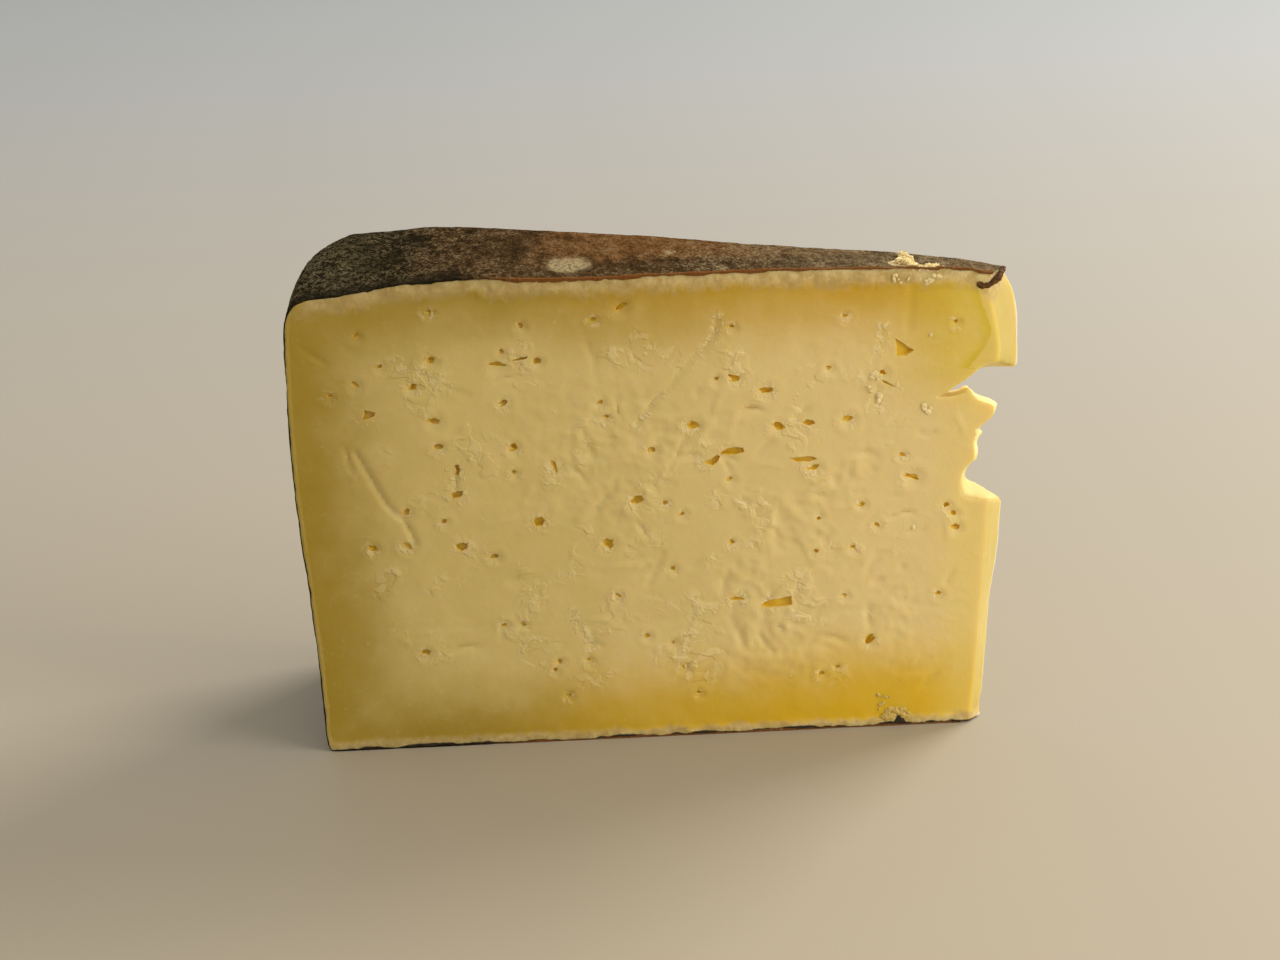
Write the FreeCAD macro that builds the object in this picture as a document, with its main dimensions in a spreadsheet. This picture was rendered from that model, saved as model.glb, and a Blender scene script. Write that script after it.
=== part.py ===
import FreeCAD, Part
import math
import os

import Sketcher

# A wedge of Caerphilly cheese, cut from a tall moulded wheel with a wire.
#
# The wheel stands on the XY plane with its axis on Z.  The front cut is the plane y = 0 and runs from
# the axis out to -X.  The back cut leaves it at the slice angle and misses the axis, so the wedge has
# a blunt nose instead of a knife edge.  The middle of that nose has crumbled away, and the curd eyes
# that the wire opened are dug into both cut faces.

SIZES = (
    ("belly_radius", 116.0, "widest radius of the wheel"),
    ("wheel_height", 82.0, "height of the wheel at the outer edge of its top"),
    ("foot_inset", 3.0, "how far the foot of the side stands in from the belly"),
    ("foot_round", 1.5, "round of the bottom edge"),
    ("skirt_inset", 2.4, "how far the top of the straight skirt stands in from the belly"),
    ("skirt_height", 20.0, "height of the straight skirt above the base"),
    ("belly_height", 53.0, "height of the widest ring above the base"),
    ("lower_belly_rise", 0.6, "swell of the side between skirt and belly"),
    ("upper_belly_rise", 0.4, "swell of the side between belly and shoulder"),
    ("shoulder_inset", 1.4, "how far the top of the side stands in from the belly"),
    ("shoulder_drop", 4.0, "how far the shoulder starts below the top"),
    ("shoulder_rise", 0.9, "roundness of the shoulder"),
    ("rim_inset", 5.0, "where the shoulder ends, in from the belly"),
    ("rim_drop", 1.7, "where the shoulder ends, below the top"),
    ("ring_inset", 16.0, "where the sloping rim meets the pressed ring, in from the belly"),
    ("ring_width", 30.0, "width of the pressed ring round the top"),
    ("ring_rise", 1.1, "how far the ring swells up"),
    ("dish_lift", 0.3, "how far the inside of the ring lies above its outside"),
    ("crown_rise", 0.5, "how far the middle of the top swells up"),
    ("tip_width", 12.0, "radius of the sunken middle of the top"),
    ("tip_lift", 0.7, "how far the edge of the sunken middle lies above the top"),
    ("slice_angle", 18.1, "angle in degrees between the two cuts"),
    ("nose_reach", 5.4, "how far the nose stands out past the axis"),
    ("nose_width", 4.4, "width of the nose, square to the front cut"),
    ("tip_reach", 2.0, "how far the nose stands out at the top"),
    ("nose_bulge", 1.2, "swell of the nose between the top and its widest place"),
    ("lobe_height", 66.0, "height of the widest place of the nose above the base"),
    ("shank_reach", 3.9, "how far the nose stands out under the break"),
    ("shank_height", 36.0, "height of the straight stretch under the break"),
    ("heel_reach", 2.5, "how far the nose stands out at the base"),
    ("heel_height", 20.0, "height of the straight stretch above the base"),
    ("break_floor", 43.2, "height of the lowest place of the break above the base"),
    ("break_ceiling", 65.3, "height of the highest place of the break above the base"),
    ("break_depth", 9.4, "how far the deepest crack of the break runs in from the axis"),
    ("break_slant", 0.12, "how far the break leans outwards for each millimetre of its run"),
    ("break_fall", 0.08, "how far the break leans down for each millimetre of its run"),
    ("eye_width", 2.0, "width of a round curd eye"),
    ("eye_height", 1.4, "height of a round curd eye"),
    ("slit_width", 5.0, "width of a long curd eye"),
    ("slit_height", 1.3, "height of a long curd eye"),
    ("pinch_width", 2.4, "width of a pinched curd eye"),
    ("pinch_height", 0.9, "height of a pinched curd eye"),
    ("eye_depth", 0.9, "depth of every curd eye below the cut"),
    ("eye_floor", 0.35, "width of a pinched curd eye's floor as a share of its mouth"),
)

# The break in the nose, from the outer end of its ceiling to the outer end of its floor: how deep it
# lies as a share of break_depth, and how high as a share of the way from break_floor to break_ceiling.
BREAK_OUTLINE = (
    (-1.20, 1.00),
    (0.13, 1.00),
    (0.42, 0.92),
    (1.00, 0.77),
    (0.56, 0.80),
    (0.42, 0.87),
    (0.28, 0.79),
    (-0.17, 0.71),
    (-0.02, 0.56),
    (0.15, 0.50),
    (0.21, 0.40),
    (0.18, 0.26),
    (0.38, 0.22),
    (0.50, 0.15),
    (0.43, 0.00),
    (0.00, 0.00),
    (-1.20, -0.16),
)

# Curd eyes of the front cut: kind, place from the axis as a share of belly_radius, height as a share
# of wheel_height, and tilt in degrees, positive when the outer end is the lower one.
FRONT_EYES = (
    ("eye", 0.889, 0.735, -15),
    ("eye", 0.765, 0.448, 20),
    ("slit", 0.768, 0.587, 84),
    ("slit", 0.680, 0.839, 5),
    ("eye", 0.653, 0.496, 30),
    ("pinch", 0.532, 0.943, 35),
    ("eye", 0.553, 0.443, -20),
    ("pinch", 0.511, 0.535, 10),
    ("slit", 0.378, 0.634, 12),
    ("pinch", 0.327, 0.760, 0),
    ("eye", 0.307, 0.683, 40),
    ("pinch", 0.266, 0.688, -10),
    ("slit", 0.266, 0.607, -4),
    ("slit", 0.307, 0.295, 3),
    ("eye", 0.166, 0.202, 25),
    ("pinch", 0.148, 0.767, -35),
    ("eye", 0.134, 0.844, 60),
    ("pinch", 0.110, 0.565, -25),
)

EYE_SIDES = 6
EYE_KINDS = ("eye", "pinch", "slit")

# Curd eyes of the back cut: each kind in its turn, spread over the face between these shares of the
# wheel's radius and height, and turned by the same angle from one to the next.
BACK_EYES = 14
BACK_EYE_TILT = 37
GOLDEN_SHARE = 0.618
BACK_EYE_NEAR = 0.20
BACK_EYE_FAR = 0.90
BACK_EYE_LOW = 0.12
BACK_EYE_HIGH = 0.90

# A quarter round swells this share of its radius out of its chord.
QUARTER_RISE = 1 - 0.5 ** 0.5
# Waste outlines reach this far past the wedge, in millimetres.
CLEAR = "20"
# The least volume in cubic millimetres that a cut has to take away.
LEAST_CUT = 0.1


def add_sizes(document):
    """Write every driving size into the sheet, under its own name."""
    sheet = document.addObject("Spreadsheet::Sheet", "Sizes")
    for row, (alias, size, meaning) in enumerate(SIZES, start=1):
        sheet.set(f"A{row}", meaning)
        sheet.set(f"B{row}", str(size))
        sheet.setAlias(f"B{row}", alias)
    document.recompute()


def origin_part(body, role):
    """Find an axis or a plane of the body's own origin."""
    return next(part for part in body.Origin.OriginFeatures if part.Role == role)


def new_sketch(body, name, plane):
    """Start a sketch on one of the body's origin planes."""
    sketch = body.newObject("Sketcher::SketchObject", name)
    sketch.AttachmentSupport = (origin_part(body, plane), [""])
    sketch.MapMode = "FlatFace"
    return sketch


def constrain(sketch, kind, *places, formula):
    """Add one dimension to the sketch and bind it to the sheet."""
    index = sketch.addConstraint(Sketcher.Constraint(kind, *places, sketch.evalExpression(formula)))
    sketch.setExpression(f"Constraints[{index}]", formula)


def pin_point(sketch, edge, end, corner):
    """Hold one end of an edge at a corner, given as two formulas."""
    constrain(sketch, "DistanceX", -1, 1, edge, end, formula=corner[0])
    constrain(sketch, "DistanceY", -1, 1, edge, end, formula=corner[1])


def corner_point(sketch, corner):
    """Work out where a corner, given as formulas, lies now."""
    return FreeCAD.Vector(sketch.evalExpression(corner[0]), sketch.evalExpression(corner[1]), 0)


def draw_outline(sketch, corners):
    """Draw a closed outline, anticlockwise.

    Each corner is two formulas.  A third one makes the edge that leaves it an arc, and says how far
    that arc swells out of the outline.
    """
    points = [corner_point(sketch, corner) for corner in corners]
    ends = []
    for index, corner in enumerate(corners):
        after = (index + 1) % len(corners)
        start, stop = points[index], points[after]
        if len(corner) == 2:
            edge = sketch.addGeometry(Part.LineSegment(start, stop))
            ends.append((edge, 1, 2))
            continue
        chord = stop - start
        outward = FreeCAD.Vector(chord.y, -chord.x).normalize()
        middle = (start + stop) * 0.5 + outward * sketch.evalExpression(corner[2])
        edge = sketch.addGeometry(Part.Arc(start, middle, stop))
        run = f"(({corners[after][0]}) - ({corner[0]}))"
        climb = f"(({corners[after][1]}) - ({corner[1]}))"
        rise = f"abs({corner[2]})"
        constrain(sketch, "Radius", edge, formula=f"({run}^2 + {climb}^2) / (8 * {rise}) + {rise} / 2")
        ends.append((edge, 1, 2) if sketch.evalExpression(corner[2]) > 0 else (edge, 2, 1))
    for index, (edge, start_end, stop_end) in enumerate(ends):
        next_edge, next_start, _ = ends[(index + 1) % len(ends)]
        sketch.addConstraint(Sketcher.Constraint("Coincident", edge, stop_end, next_edge, next_start))
        pin_point(sketch, edge, start_end, corners[index])


def cut_through(body, name, sketch):
    """Cut a sketch right through the body, both ways."""
    cut = body.newObject("PartDesign::Pocket", name)
    cut.Profile = sketch
    cut.Type = "ThroughAll"
    cut.SideType = "Symmetric"
    return cut


def turn_wheel(body):
    """Turn the whole wheel round Z: foot, skirt, belly, shoulder, sloping rim, ring and sunken middle."""
    section = new_sketch(body, "wheel_section", "XZ_Plane")
    draw_outline(section, (
        ("0", "0"),
        ("Sizes.belly_radius - Sizes.foot_inset - Sizes.foot_round", "0",
         f"Sizes.foot_round * {QUARTER_RISE:.4f}"),
        ("Sizes.belly_radius - Sizes.foot_inset", "Sizes.foot_round"),
        ("Sizes.belly_radius - Sizes.skirt_inset", "Sizes.skirt_height", "Sizes.lower_belly_rise"),
        ("Sizes.belly_radius", "Sizes.belly_height", "Sizes.upper_belly_rise"),
        ("Sizes.belly_radius - Sizes.shoulder_inset", "Sizes.wheel_height - Sizes.shoulder_drop",
         "Sizes.shoulder_rise"),
        ("Sizes.belly_radius - Sizes.rim_inset", "Sizes.wheel_height - Sizes.rim_drop"),
        ("Sizes.belly_radius - Sizes.ring_inset", "Sizes.wheel_height", "Sizes.ring_rise"),
        ("Sizes.belly_radius - Sizes.ring_inset - Sizes.ring_width",
         "Sizes.wheel_height + Sizes.dish_lift", "Sizes.crown_rise"),
        ("Sizes.tip_width", "Sizes.wheel_height + Sizes.tip_lift"),
        ("0", "Sizes.wheel_height"),
    ))
    wheel = body.newObject("PartDesign::Revolution", "wheel")
    wheel.Profile = section
    wheel.ReferenceAxis = (section, ["V_Axis"])
    wheel.Angle = 360


def cut_slice(body):
    """Take away all of the wheel but the slice between the two cuts and the blunt nose."""
    plan = new_sketch(body, "slice_plan", "XY_Plane")
    reach = f"(Sizes.belly_radius + {CLEAR})"
    waste = f"({reach} + {CLEAR})"
    back_y = f"Sizes.nose_width + ({reach} + Sizes.nose_reach) * tan(Sizes.slice_angle * 1 deg)"
    draw_outline(plan, (
        (f"-{waste}", f"-{waste}"),
        (waste, f"-{waste}"),
        (waste, waste),
        (f"-{waste}", waste),
    ))
    draw_outline(plan, (
        ("0", "0"),
        ("Sizes.nose_reach", "Sizes.nose_width"),
        (f"-{reach}", back_y),
        (f"-{reach}", "0"),
    ))
    cut_through(body, "slice", plan)


def shape_nose(body):
    """Pare the nose to its silhouette: narrow at the top, widest at the lobe, narrow again at the heel."""
    profile = new_sketch(body, "nose_profile", "XZ_Plane")
    past_nose = f"Sizes.nose_reach + {CLEAR}"
    over_top = f"Sizes.wheel_height + {CLEAR}"
    draw_outline(profile, (
        ("Sizes.heel_reach", f"-{CLEAR}"),
        (past_nose, f"-{CLEAR}"),
        (past_nose, over_top),
        ("Sizes.tip_reach", over_top),
        ("Sizes.tip_reach", "Sizes.wheel_height", "-Sizes.nose_bulge"),
        ("Sizes.nose_reach", "Sizes.lobe_height"),
        ("Sizes.shank_reach", "Sizes.break_floor"),
        ("Sizes.shank_reach", "Sizes.shank_height"),
        ("Sizes.heel_reach", "Sizes.heel_height"),
    ))
    cut_through(body, "nose", profile)


def break_nose(body):
    """Break the middle out of the nose, along a line that leans outwards and down."""
    outline = new_sketch(body, "break_outline", "XZ_Plane")
    draw_outline(outline, [
        (f"{-depth} * Sizes.break_depth",
         f"Sizes.break_floor + {height} * (Sizes.break_ceiling - Sizes.break_floor)")
        for depth, height in reversed(BREAK_OUTLINE)
    ])
    cut = cut_through(body, "nose_break", outline)
    cut.UseCustomVector = True
    cut.setExpression("Direction.x", "Sizes.break_slant")
    cut.setExpression("Direction.y", "1")
    cut.setExpression("Direction.z", "-Sizes.break_fall")


def eye_corners(kind, middle, tilt):
    """Work out the corners of one curd eye: a hexagon, stretched to its kind's size and tilted."""
    corners = []
    for number in range(EYE_SIDES):
        around = math.tau * number / EYE_SIDES
        along = math.cos(around) / 2
        across = math.sin(around) / 2
        lean = math.radians(tilt)
        corners.append((
            f"{middle[0]} + {along * math.cos(lean):.4f} * Sizes.{kind}_width"
            f" - {across * math.sin(lean):.4f} * Sizes.{kind}_height",
            f"{middle[1]} + {along * math.sin(lean):.4f} * Sizes.{kind}_width"
            f" + {across * math.cos(lean):.4f} * Sizes.{kind}_height",
        ))
    return corners


def dig_eyes(body, name, sketch, eyes):
    """Dig curd eyes whose walls draw in towards a small floor, as the crumbled pits of the cut do."""
    for kind, middle, tilt in eyes:
        draw_outline(sketch, eye_corners(kind, middle, tilt))
    pits = body.newObject("PartDesign::Pocket", name)
    pits.Profile = sketch
    pits.setExpression("Length", "Sizes.eye_depth")
    pits.setExpression("TaperAngle", "atan((Sizes.eye_floor - 1) * Sizes.pinch_height / (2 * Sizes.eye_depth))")


def dig_front_eyes(body):
    """Dig the curd eyes of the front cut."""
    sketch = new_sketch(body, "front_eye_outlines", "XZ_Plane")
    dig_eyes(body, "front_eyes", sketch, [
        (kind, (f"-{along} * Sizes.belly_radius", f"{up} * Sizes.wheel_height"), tilt)
        for kind, along, up, tilt in FRONT_EYES
    ])


def dig_back_eyes(body):
    """Dig the curd eyes of the back cut, spread by the golden share so that none line up."""
    sketch = new_sketch(body, "back_eye_outlines", "XZ_Plane")
    sketch.AttachmentOffset.Rotation.Axis = FreeCAD.Vector(0, 1, 0)
    sketch.setExpression("AttachmentOffset.Base.x", "Sizes.nose_reach")
    sketch.setExpression("AttachmentOffset.Base.z", "-Sizes.nose_width")
    sketch.setExpression("AttachmentOffset.Rotation.Angle", "180 - Sizes.slice_angle")
    eyes = []
    for number in range(BACK_EYES):
        along = BACK_EYE_NEAR + (BACK_EYE_FAR - BACK_EYE_NEAR) * (number + 0.5) / BACK_EYES
        up = BACK_EYE_LOW + (BACK_EYE_HIGH - BACK_EYE_LOW) * (number * GOLDEN_SHARE % 1)
        middle = (f"{along:.3f} * Sizes.belly_radius", f"{up:.3f} * Sizes.wheel_height")
        eyes.append((EYE_KINDS[number % len(EYE_KINDS)], middle, number * BACK_EYE_TILT))
    dig_eyes(body, "back_eyes", sketch, eyes)


def stand_at_origin(body):
    """Move the wedge so that the origin is under the middle of it, on the surface it stands on."""
    box = body.Shape.optimalBoundingBox()
    body.Placement.Base = FreeCAD.Vector(-box.Center.x, -box.Center.y, -box.ZMin)


def check(document, body):
    """Stop if a feature failed, a cut took nothing away or the wedge isn't one sound solid."""
    for thing in document.Objects:
        if "Invalid" in thing.State or "Error" in thing.State:
            raise RuntimeError(f"{thing.Name} failed: {thing.State}")
    features = [thing for thing in body.Group if thing.isDerivedFrom("PartDesign::Feature")]
    for before, after in zip(features, features[1:]):
        if before.Shape.Volume - after.Shape.Volume < LEAST_CUT:
            raise RuntimeError(f"{after.Name} took nothing away")
    if body.Shape.isNull() or not body.Shape.isValid() or len(body.Shape.Solids) != 1:
        raise RuntimeError(f"{body.Label} is not one valid solid")


def build():
    """Build the wedge and write it to parts/."""
    document = FreeCAD.newDocument("caerphilly")
    add_sizes(document)
    body = document.addObject("PartDesign::Body", "cheese_wedge")
    body.Label = "cheese_wedge"
    turn_wheel(body)
    cut_slice(body)
    shape_nose(body)
    break_nose(body)
    dig_front_eyes(body)
    dig_back_eyes(body)
    document.recompute()
    stand_at_origin(body)
    document.recompute()
    check(document, body)
    os.makedirs("parts", exist_ok=True)
    body.Shape.exportStep(f"parts/{body.Label}.step")
    box = body.Shape.optimalBoundingBox()
    print(f"{body.Label}: {box.XLength:.2f} x {box.YLength:.2f} x {box.ZLength:.2f} mm, "
          f"{body.Shape.Volume / 1000:.1f} cm3, {len(body.Shape.Faces)} faces")


build()
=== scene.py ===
import math
import random

import bmesh
import bpy
import numpy as np
from mathutils import Matrix, Vector, noise


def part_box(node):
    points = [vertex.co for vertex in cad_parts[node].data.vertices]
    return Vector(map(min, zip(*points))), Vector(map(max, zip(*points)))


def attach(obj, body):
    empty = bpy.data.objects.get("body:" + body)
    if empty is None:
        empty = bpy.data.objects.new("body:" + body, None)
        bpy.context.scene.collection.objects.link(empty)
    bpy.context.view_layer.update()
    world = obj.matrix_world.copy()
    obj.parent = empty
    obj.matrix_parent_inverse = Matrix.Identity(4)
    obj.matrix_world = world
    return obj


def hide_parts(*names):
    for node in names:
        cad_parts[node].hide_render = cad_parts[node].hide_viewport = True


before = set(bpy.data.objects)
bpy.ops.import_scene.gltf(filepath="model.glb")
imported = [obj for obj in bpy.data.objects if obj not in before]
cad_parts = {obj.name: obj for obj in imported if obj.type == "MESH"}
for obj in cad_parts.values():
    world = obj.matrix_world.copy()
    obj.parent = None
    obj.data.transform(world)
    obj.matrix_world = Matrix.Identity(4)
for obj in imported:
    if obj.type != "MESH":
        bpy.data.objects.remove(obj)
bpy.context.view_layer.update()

bl_info = {
    "name": "Caerphilly wedge",
    "version": (1, 0, 0),
    "blender": (4, 5, 0),
    "location": "3D View > Sidebar > Cheese",
    "description": "Models a wedge of crumbly cheese with a mould rind around its solid",
    "category": "Add Mesh",
}

# ---------------------------------------------------------------------------------------------------
# The wedge's own frame: millimetres from the wheel's axis, where the axis meets the board.  The front
# cut is y = 0 and runs from the axis out to -x; the back cut leaves it at the nose.
# ---------------------------------------------------------------------------------------------------

NODE = "cheese_wedge"
MM = 0.001
node_low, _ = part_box(NODE)
BELLY = 116.0
AXIS = Vector((node_low.x + BELLY * MM, node_low.y, node_low.z))

# The section is drawn for a rim at this radius.
RIM = 115.0
# The rim of the wedge spans this much of a turn round the axis.
RIM_TURN = math.radians(21.0)
# Where the blunt nose ends and the back cut begins.
NOSE_X, NOSE_Y = 3.5, 5.0
# The nose is narrower at its foot, by this much in x and y, and full at this height.
FOOT_PINCH, FOOT_HEIGHT = (0.9, 2.9), 16.0
BACK_SLOPE = math.atan2(RIM * math.sin(RIM_TURN) - NOSE_Y, RIM * math.cos(RIM_TURN) + NOSE_X)

# Outlines, as (along, up).  Along is the way out from the axis, counted negative towards the rim.
SIDE = (
    (-112.3, 0.2), (-113.0, 1.6), (-113.1, 8.0), (-113.6, 20.0), (-114.6, 32.0), (-115.4, 43.0),
    (-115.8, 50.0), (-115.95, 58.0), (-115.95, 68.0), (-115.8, 75.0), (-115.2, 77.8), (-114.0, 79.3),
)
SIDE_BACK = SIDE[:-3] + ((-115.95, 75.0), (-115.8, 78.4), (-115.2, 80.0))
TOP_FRONT = (
    (-114.0, 79.3), (-112.6, 80.0), (-110.5, 80.5), (-105.0, 80.9), (-100.0, 82.0), (-95.0, 82.5),
    (-86.0, 83.1), (-80.0, 82.5), (-70.0, 82.3), (-55.0, 82.6), (-40.0, 82.9), (-20.0, 82.7),
    (-10.0, 82.5), (-4.0, 82.0), (-0.9, 81.3),
)
TOP_BACK = (
    (-115.2, 80.0), (-114.4, 80.7), (-113.0, 81.1), (-107.0, 81.7), (-103.0, 82.3), (-99.0, 83.0),
    (-90.0, 83.2), (-80.0, 83.2), (-70.0, 83.2), (-58.0, 83.1), (-52.0, 82.9), (-43.0, 82.6),
    (-34.0, 82.5), (-25.0, 82.4), (-17.0, 82.3), (-12.5, 82.1), (-5.0, 81.5), (-1.5, 80.9),
)
BASE = ((-112.3, 0.2), (-111.4, 0.0), (-60.0, 0.0), (-1.2, 0.0))
NOSE_FRONT = (
    (-1.2, 0.0), (-1.0, 5.0), (-0.2, 15.0), (0.3, 31.0), (0.4, 42.0), (0.3, 60.0), (0.8, 68.5),
    (0.0, 72.0), (-0.7, 75.0), (-1.4, 77.5), (-1.5, 79.5), (-0.9, 81.3),
)
NOSE_BACK = (
    (-1.2, 0.0), (-1.0, 8.0), (-0.8, 22.0), (0.2, 30.0), (0.4, 38.0), (0.4, 44.0), (1.4, 58.0),
    (1.8, 64.5), (1.8, 67.0), (1.6, 71.6), (1.1, 75.1), (0.3, 77.9), (-0.9, 79.9), (-1.5, 80.9),
)

# The break in the nose: corners of the missing piece where the front cut meets it, and five
# millimetres further back, both as (x, z).
BREAK = (
    ((12.0, 65.6), (12.0, 62.4)),
    ((-1.5, 65.9), (-0.2, 64.1)),
    ((-3.1, 64.2), (-2.0, 62.8)),
    ((-5.5, 62.4), (-4.4, 61.2)),
    ((-7.5, 60.9), (-6.4, 60.0)),
    ((-9.6, 60.1), (-8.0, 59.3)),
    ((-7.2, 60.1), (-6.3, 59.2)),
    ((-4.9, 60.7), (-4.0, 59.8)),
    ((-4.0, 61.6), (-3.0, 60.7)),
    ((-3.2, 60.5), (-2.2, 59.6)),
    ((-2.4, 59.8), (-1.5, 58.8)),
    ((-0.2, 58.9), (1.1, 57.9)),
    ((0.9, 58.1), (2.4, 57.2)),
    ((0.6, 56.9), (1.9, 55.4)),
    ((0.0, 56.0), (1.3, 54.4)),
    ((-1.6, 55.0), (-0.4, 53.3)),
    ((-2.6, 54.4), (-0.9, 52.8)),
    ((-2.3, 53.4), (0.0, 52.1)),
    ((-2.6, 52.0), (-1.1, 50.4)),
    ((-2.3, 50.8), (-0.6, 49.4)),
    ((-2.3, 49.0), (-0.5, 47.2)),
    ((-3.7, 48.0), (-2.2, 46.4)),
    ((-4.5, 46.3), (-3.1, 44.7)),
    ((-4.3, 44.2), (-2.7, 43.6)),
    ((-4.4, 42.3), (-2.5, 43.1)),
    ((-0.8, 42.0), (0.3, 42.4)),
    ((0.4, 41.9), (2.6, 41.1)),
    ((12.0, 40.0), (12.0, 36.5)),
)
BREAK_BEFORE, BREAK_BETWEEN, BREAK_BEHIND = -2.0, 5.0, 10.0

# Openings of the front cut: x, z, width, height, tilt in degrees.
EYES = (
    (-79.6, 54.0, 1.3, 1.2, 30), (-59.3, 43.9, 1.9, 1.1, 25), (-64.2, 36.3, 1.6, 1.2, -20),
    (-61.7, 77.3, 1.8, 0.8, 35), (-81.9, 68.3, 2.0, 0.6, -5), (-75.4, 68.6, 1.0, 0.9, 0),
    (-49.9, 56.7, 1.6, 1.0, -15), (-43.1, 64.6, 1.6, 0.8, -20), (-37.9, 62.3, 1.9, 0.9, 5),
    (-35.6, 56.0, 1.6, 1.1, -30), (-29.6, 48.5, 1.6, 0.6, 20), (-24.1, 56.9, 1.6, 0.7, 10),
    (-18.4, 64.7, 1.0, 0.7, -20), (-42.2, 25.3, 2.0, 0.6, -5), (-19.2, 16.6, 1.7, 1.1, 40),
    (-12.8, 46.3, 2.2, 0.7, -20), (-92.5, 59.0, 1.7, 0.8, -10), (-81.1, 61.7, 1.3, 0.8, 30),
    (-92.5, 69.3, 1.2, 0.8, 0), (-104.9, 65.6, 1.2, 0.6, -30), (-95.6, 64.9, 1.2, 0.7, 20),
    (-91.9, 54.5, 1.2, 0.8, 0), (-97.5, 43.3, 1.1, 0.8, 40), (-103.3, 37.1, 1.2, 0.8, -20),
    (-97.6, 37.3, 1.5, 0.7, -40), (-83.3, 34.8, 1.2, 0.7, 10), (-95.4, 17.8, 1.3, 0.8, 0),
    (-72.9, 50.4, 0.7, 1.7, 20), (-56.8, 52.7, 1.2, 0.8, -10), (-5.0, 36.9, 1.2, 0.8, 0),
    (-5.5, 39.4, 0.9, 0.7, 0), (-6.8, 40.9, 1.0, 0.6, 30), (-66.2, 75.4, 0.9, 0.6, 0),
    (-77.9, 74.7, 0.8, 0.6, 20), (-92.5, 77.4, 0.9, 0.6, 0), (-104.2, 73.8, 0.7, 0.6, 0),
    (-81.1, 70.4, 0.7, 0.5, 0), (-100.8, 68.6, 0.8, 0.6, 10), (-109.0, 63.8, 0.8, 0.5, 0),
    (-65.3, 61.2, 0.8, 0.6, 30), (-64.2, 58.7, 0.8, 0.5, 0), (-79.6, 49.6, 0.8, 0.6, 0),
    (-91.4, 41.4, 0.8, 0.7, 0), (-62.6, 26.8, 1.0, 0.6, -30), (-57.7, 19.1, 0.8, 0.6, 0),
    (-82.0, 22.2, 0.9, 0.6, 20), (-78.8, 22.2, 0.8, 0.8, 0), (-72.7, 15.0, 0.7, 0.9, 0),
    (-73.5, 13.5, 0.6, 0.6, 0), (-67.8, 15.1, 0.7, 0.5, 0), (-71.3, 8.5, 0.9, 0.5, 0),
    (-46.1, 64.6, 0.9, 0.5, 10), (-43.6, 73.5, 0.8, 0.5, 0), (-25.0, 74.6, 0.8, 0.5, 0),
    (-27.4, 65.8, 0.8, 0.6, 0), (-14.7, 50.2, 0.8, 0.6, -20), (-21.3, 41.6, 0.9, 0.6, 20),
    (-18.6, 37.8, 0.8, 0.6, 0), (-22.6, 33.9, 0.9, 0.5, 0), (-28.9, 33.5, 0.8, 0.6, 0),
    (-28.5, 39.4, 0.8, 0.5, 0), (-54.6, 43.2, 0.8, 0.6, 0), (-51.7, 41.1, 0.9, 0.5, 30),
    (-53.3, 31.3, 0.8, 0.6, 0), (-23.9, 25.1, 0.8, 0.5, 0), (-7.5, 24.7, 0.8, 0.6, 0),
    (-53.3, 17.6, 0.8, 0.5, 0), (-51.4, 12.8, 0.6, 0.9, 0), (-48.9, 8.0, 0.8, 0.5, 0),
    (-27.5, 10.6, 0.9, 0.6, 20), (-24.7, 11.7, 0.7, 0.5, 0), (-43.3, 35.7, 0.9, 0.6, 0),
    (-43.6, 47.0, 0.9, 0.6, 20), (-6.5, 73.1, 0.7, 0.6, 0),
)

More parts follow.
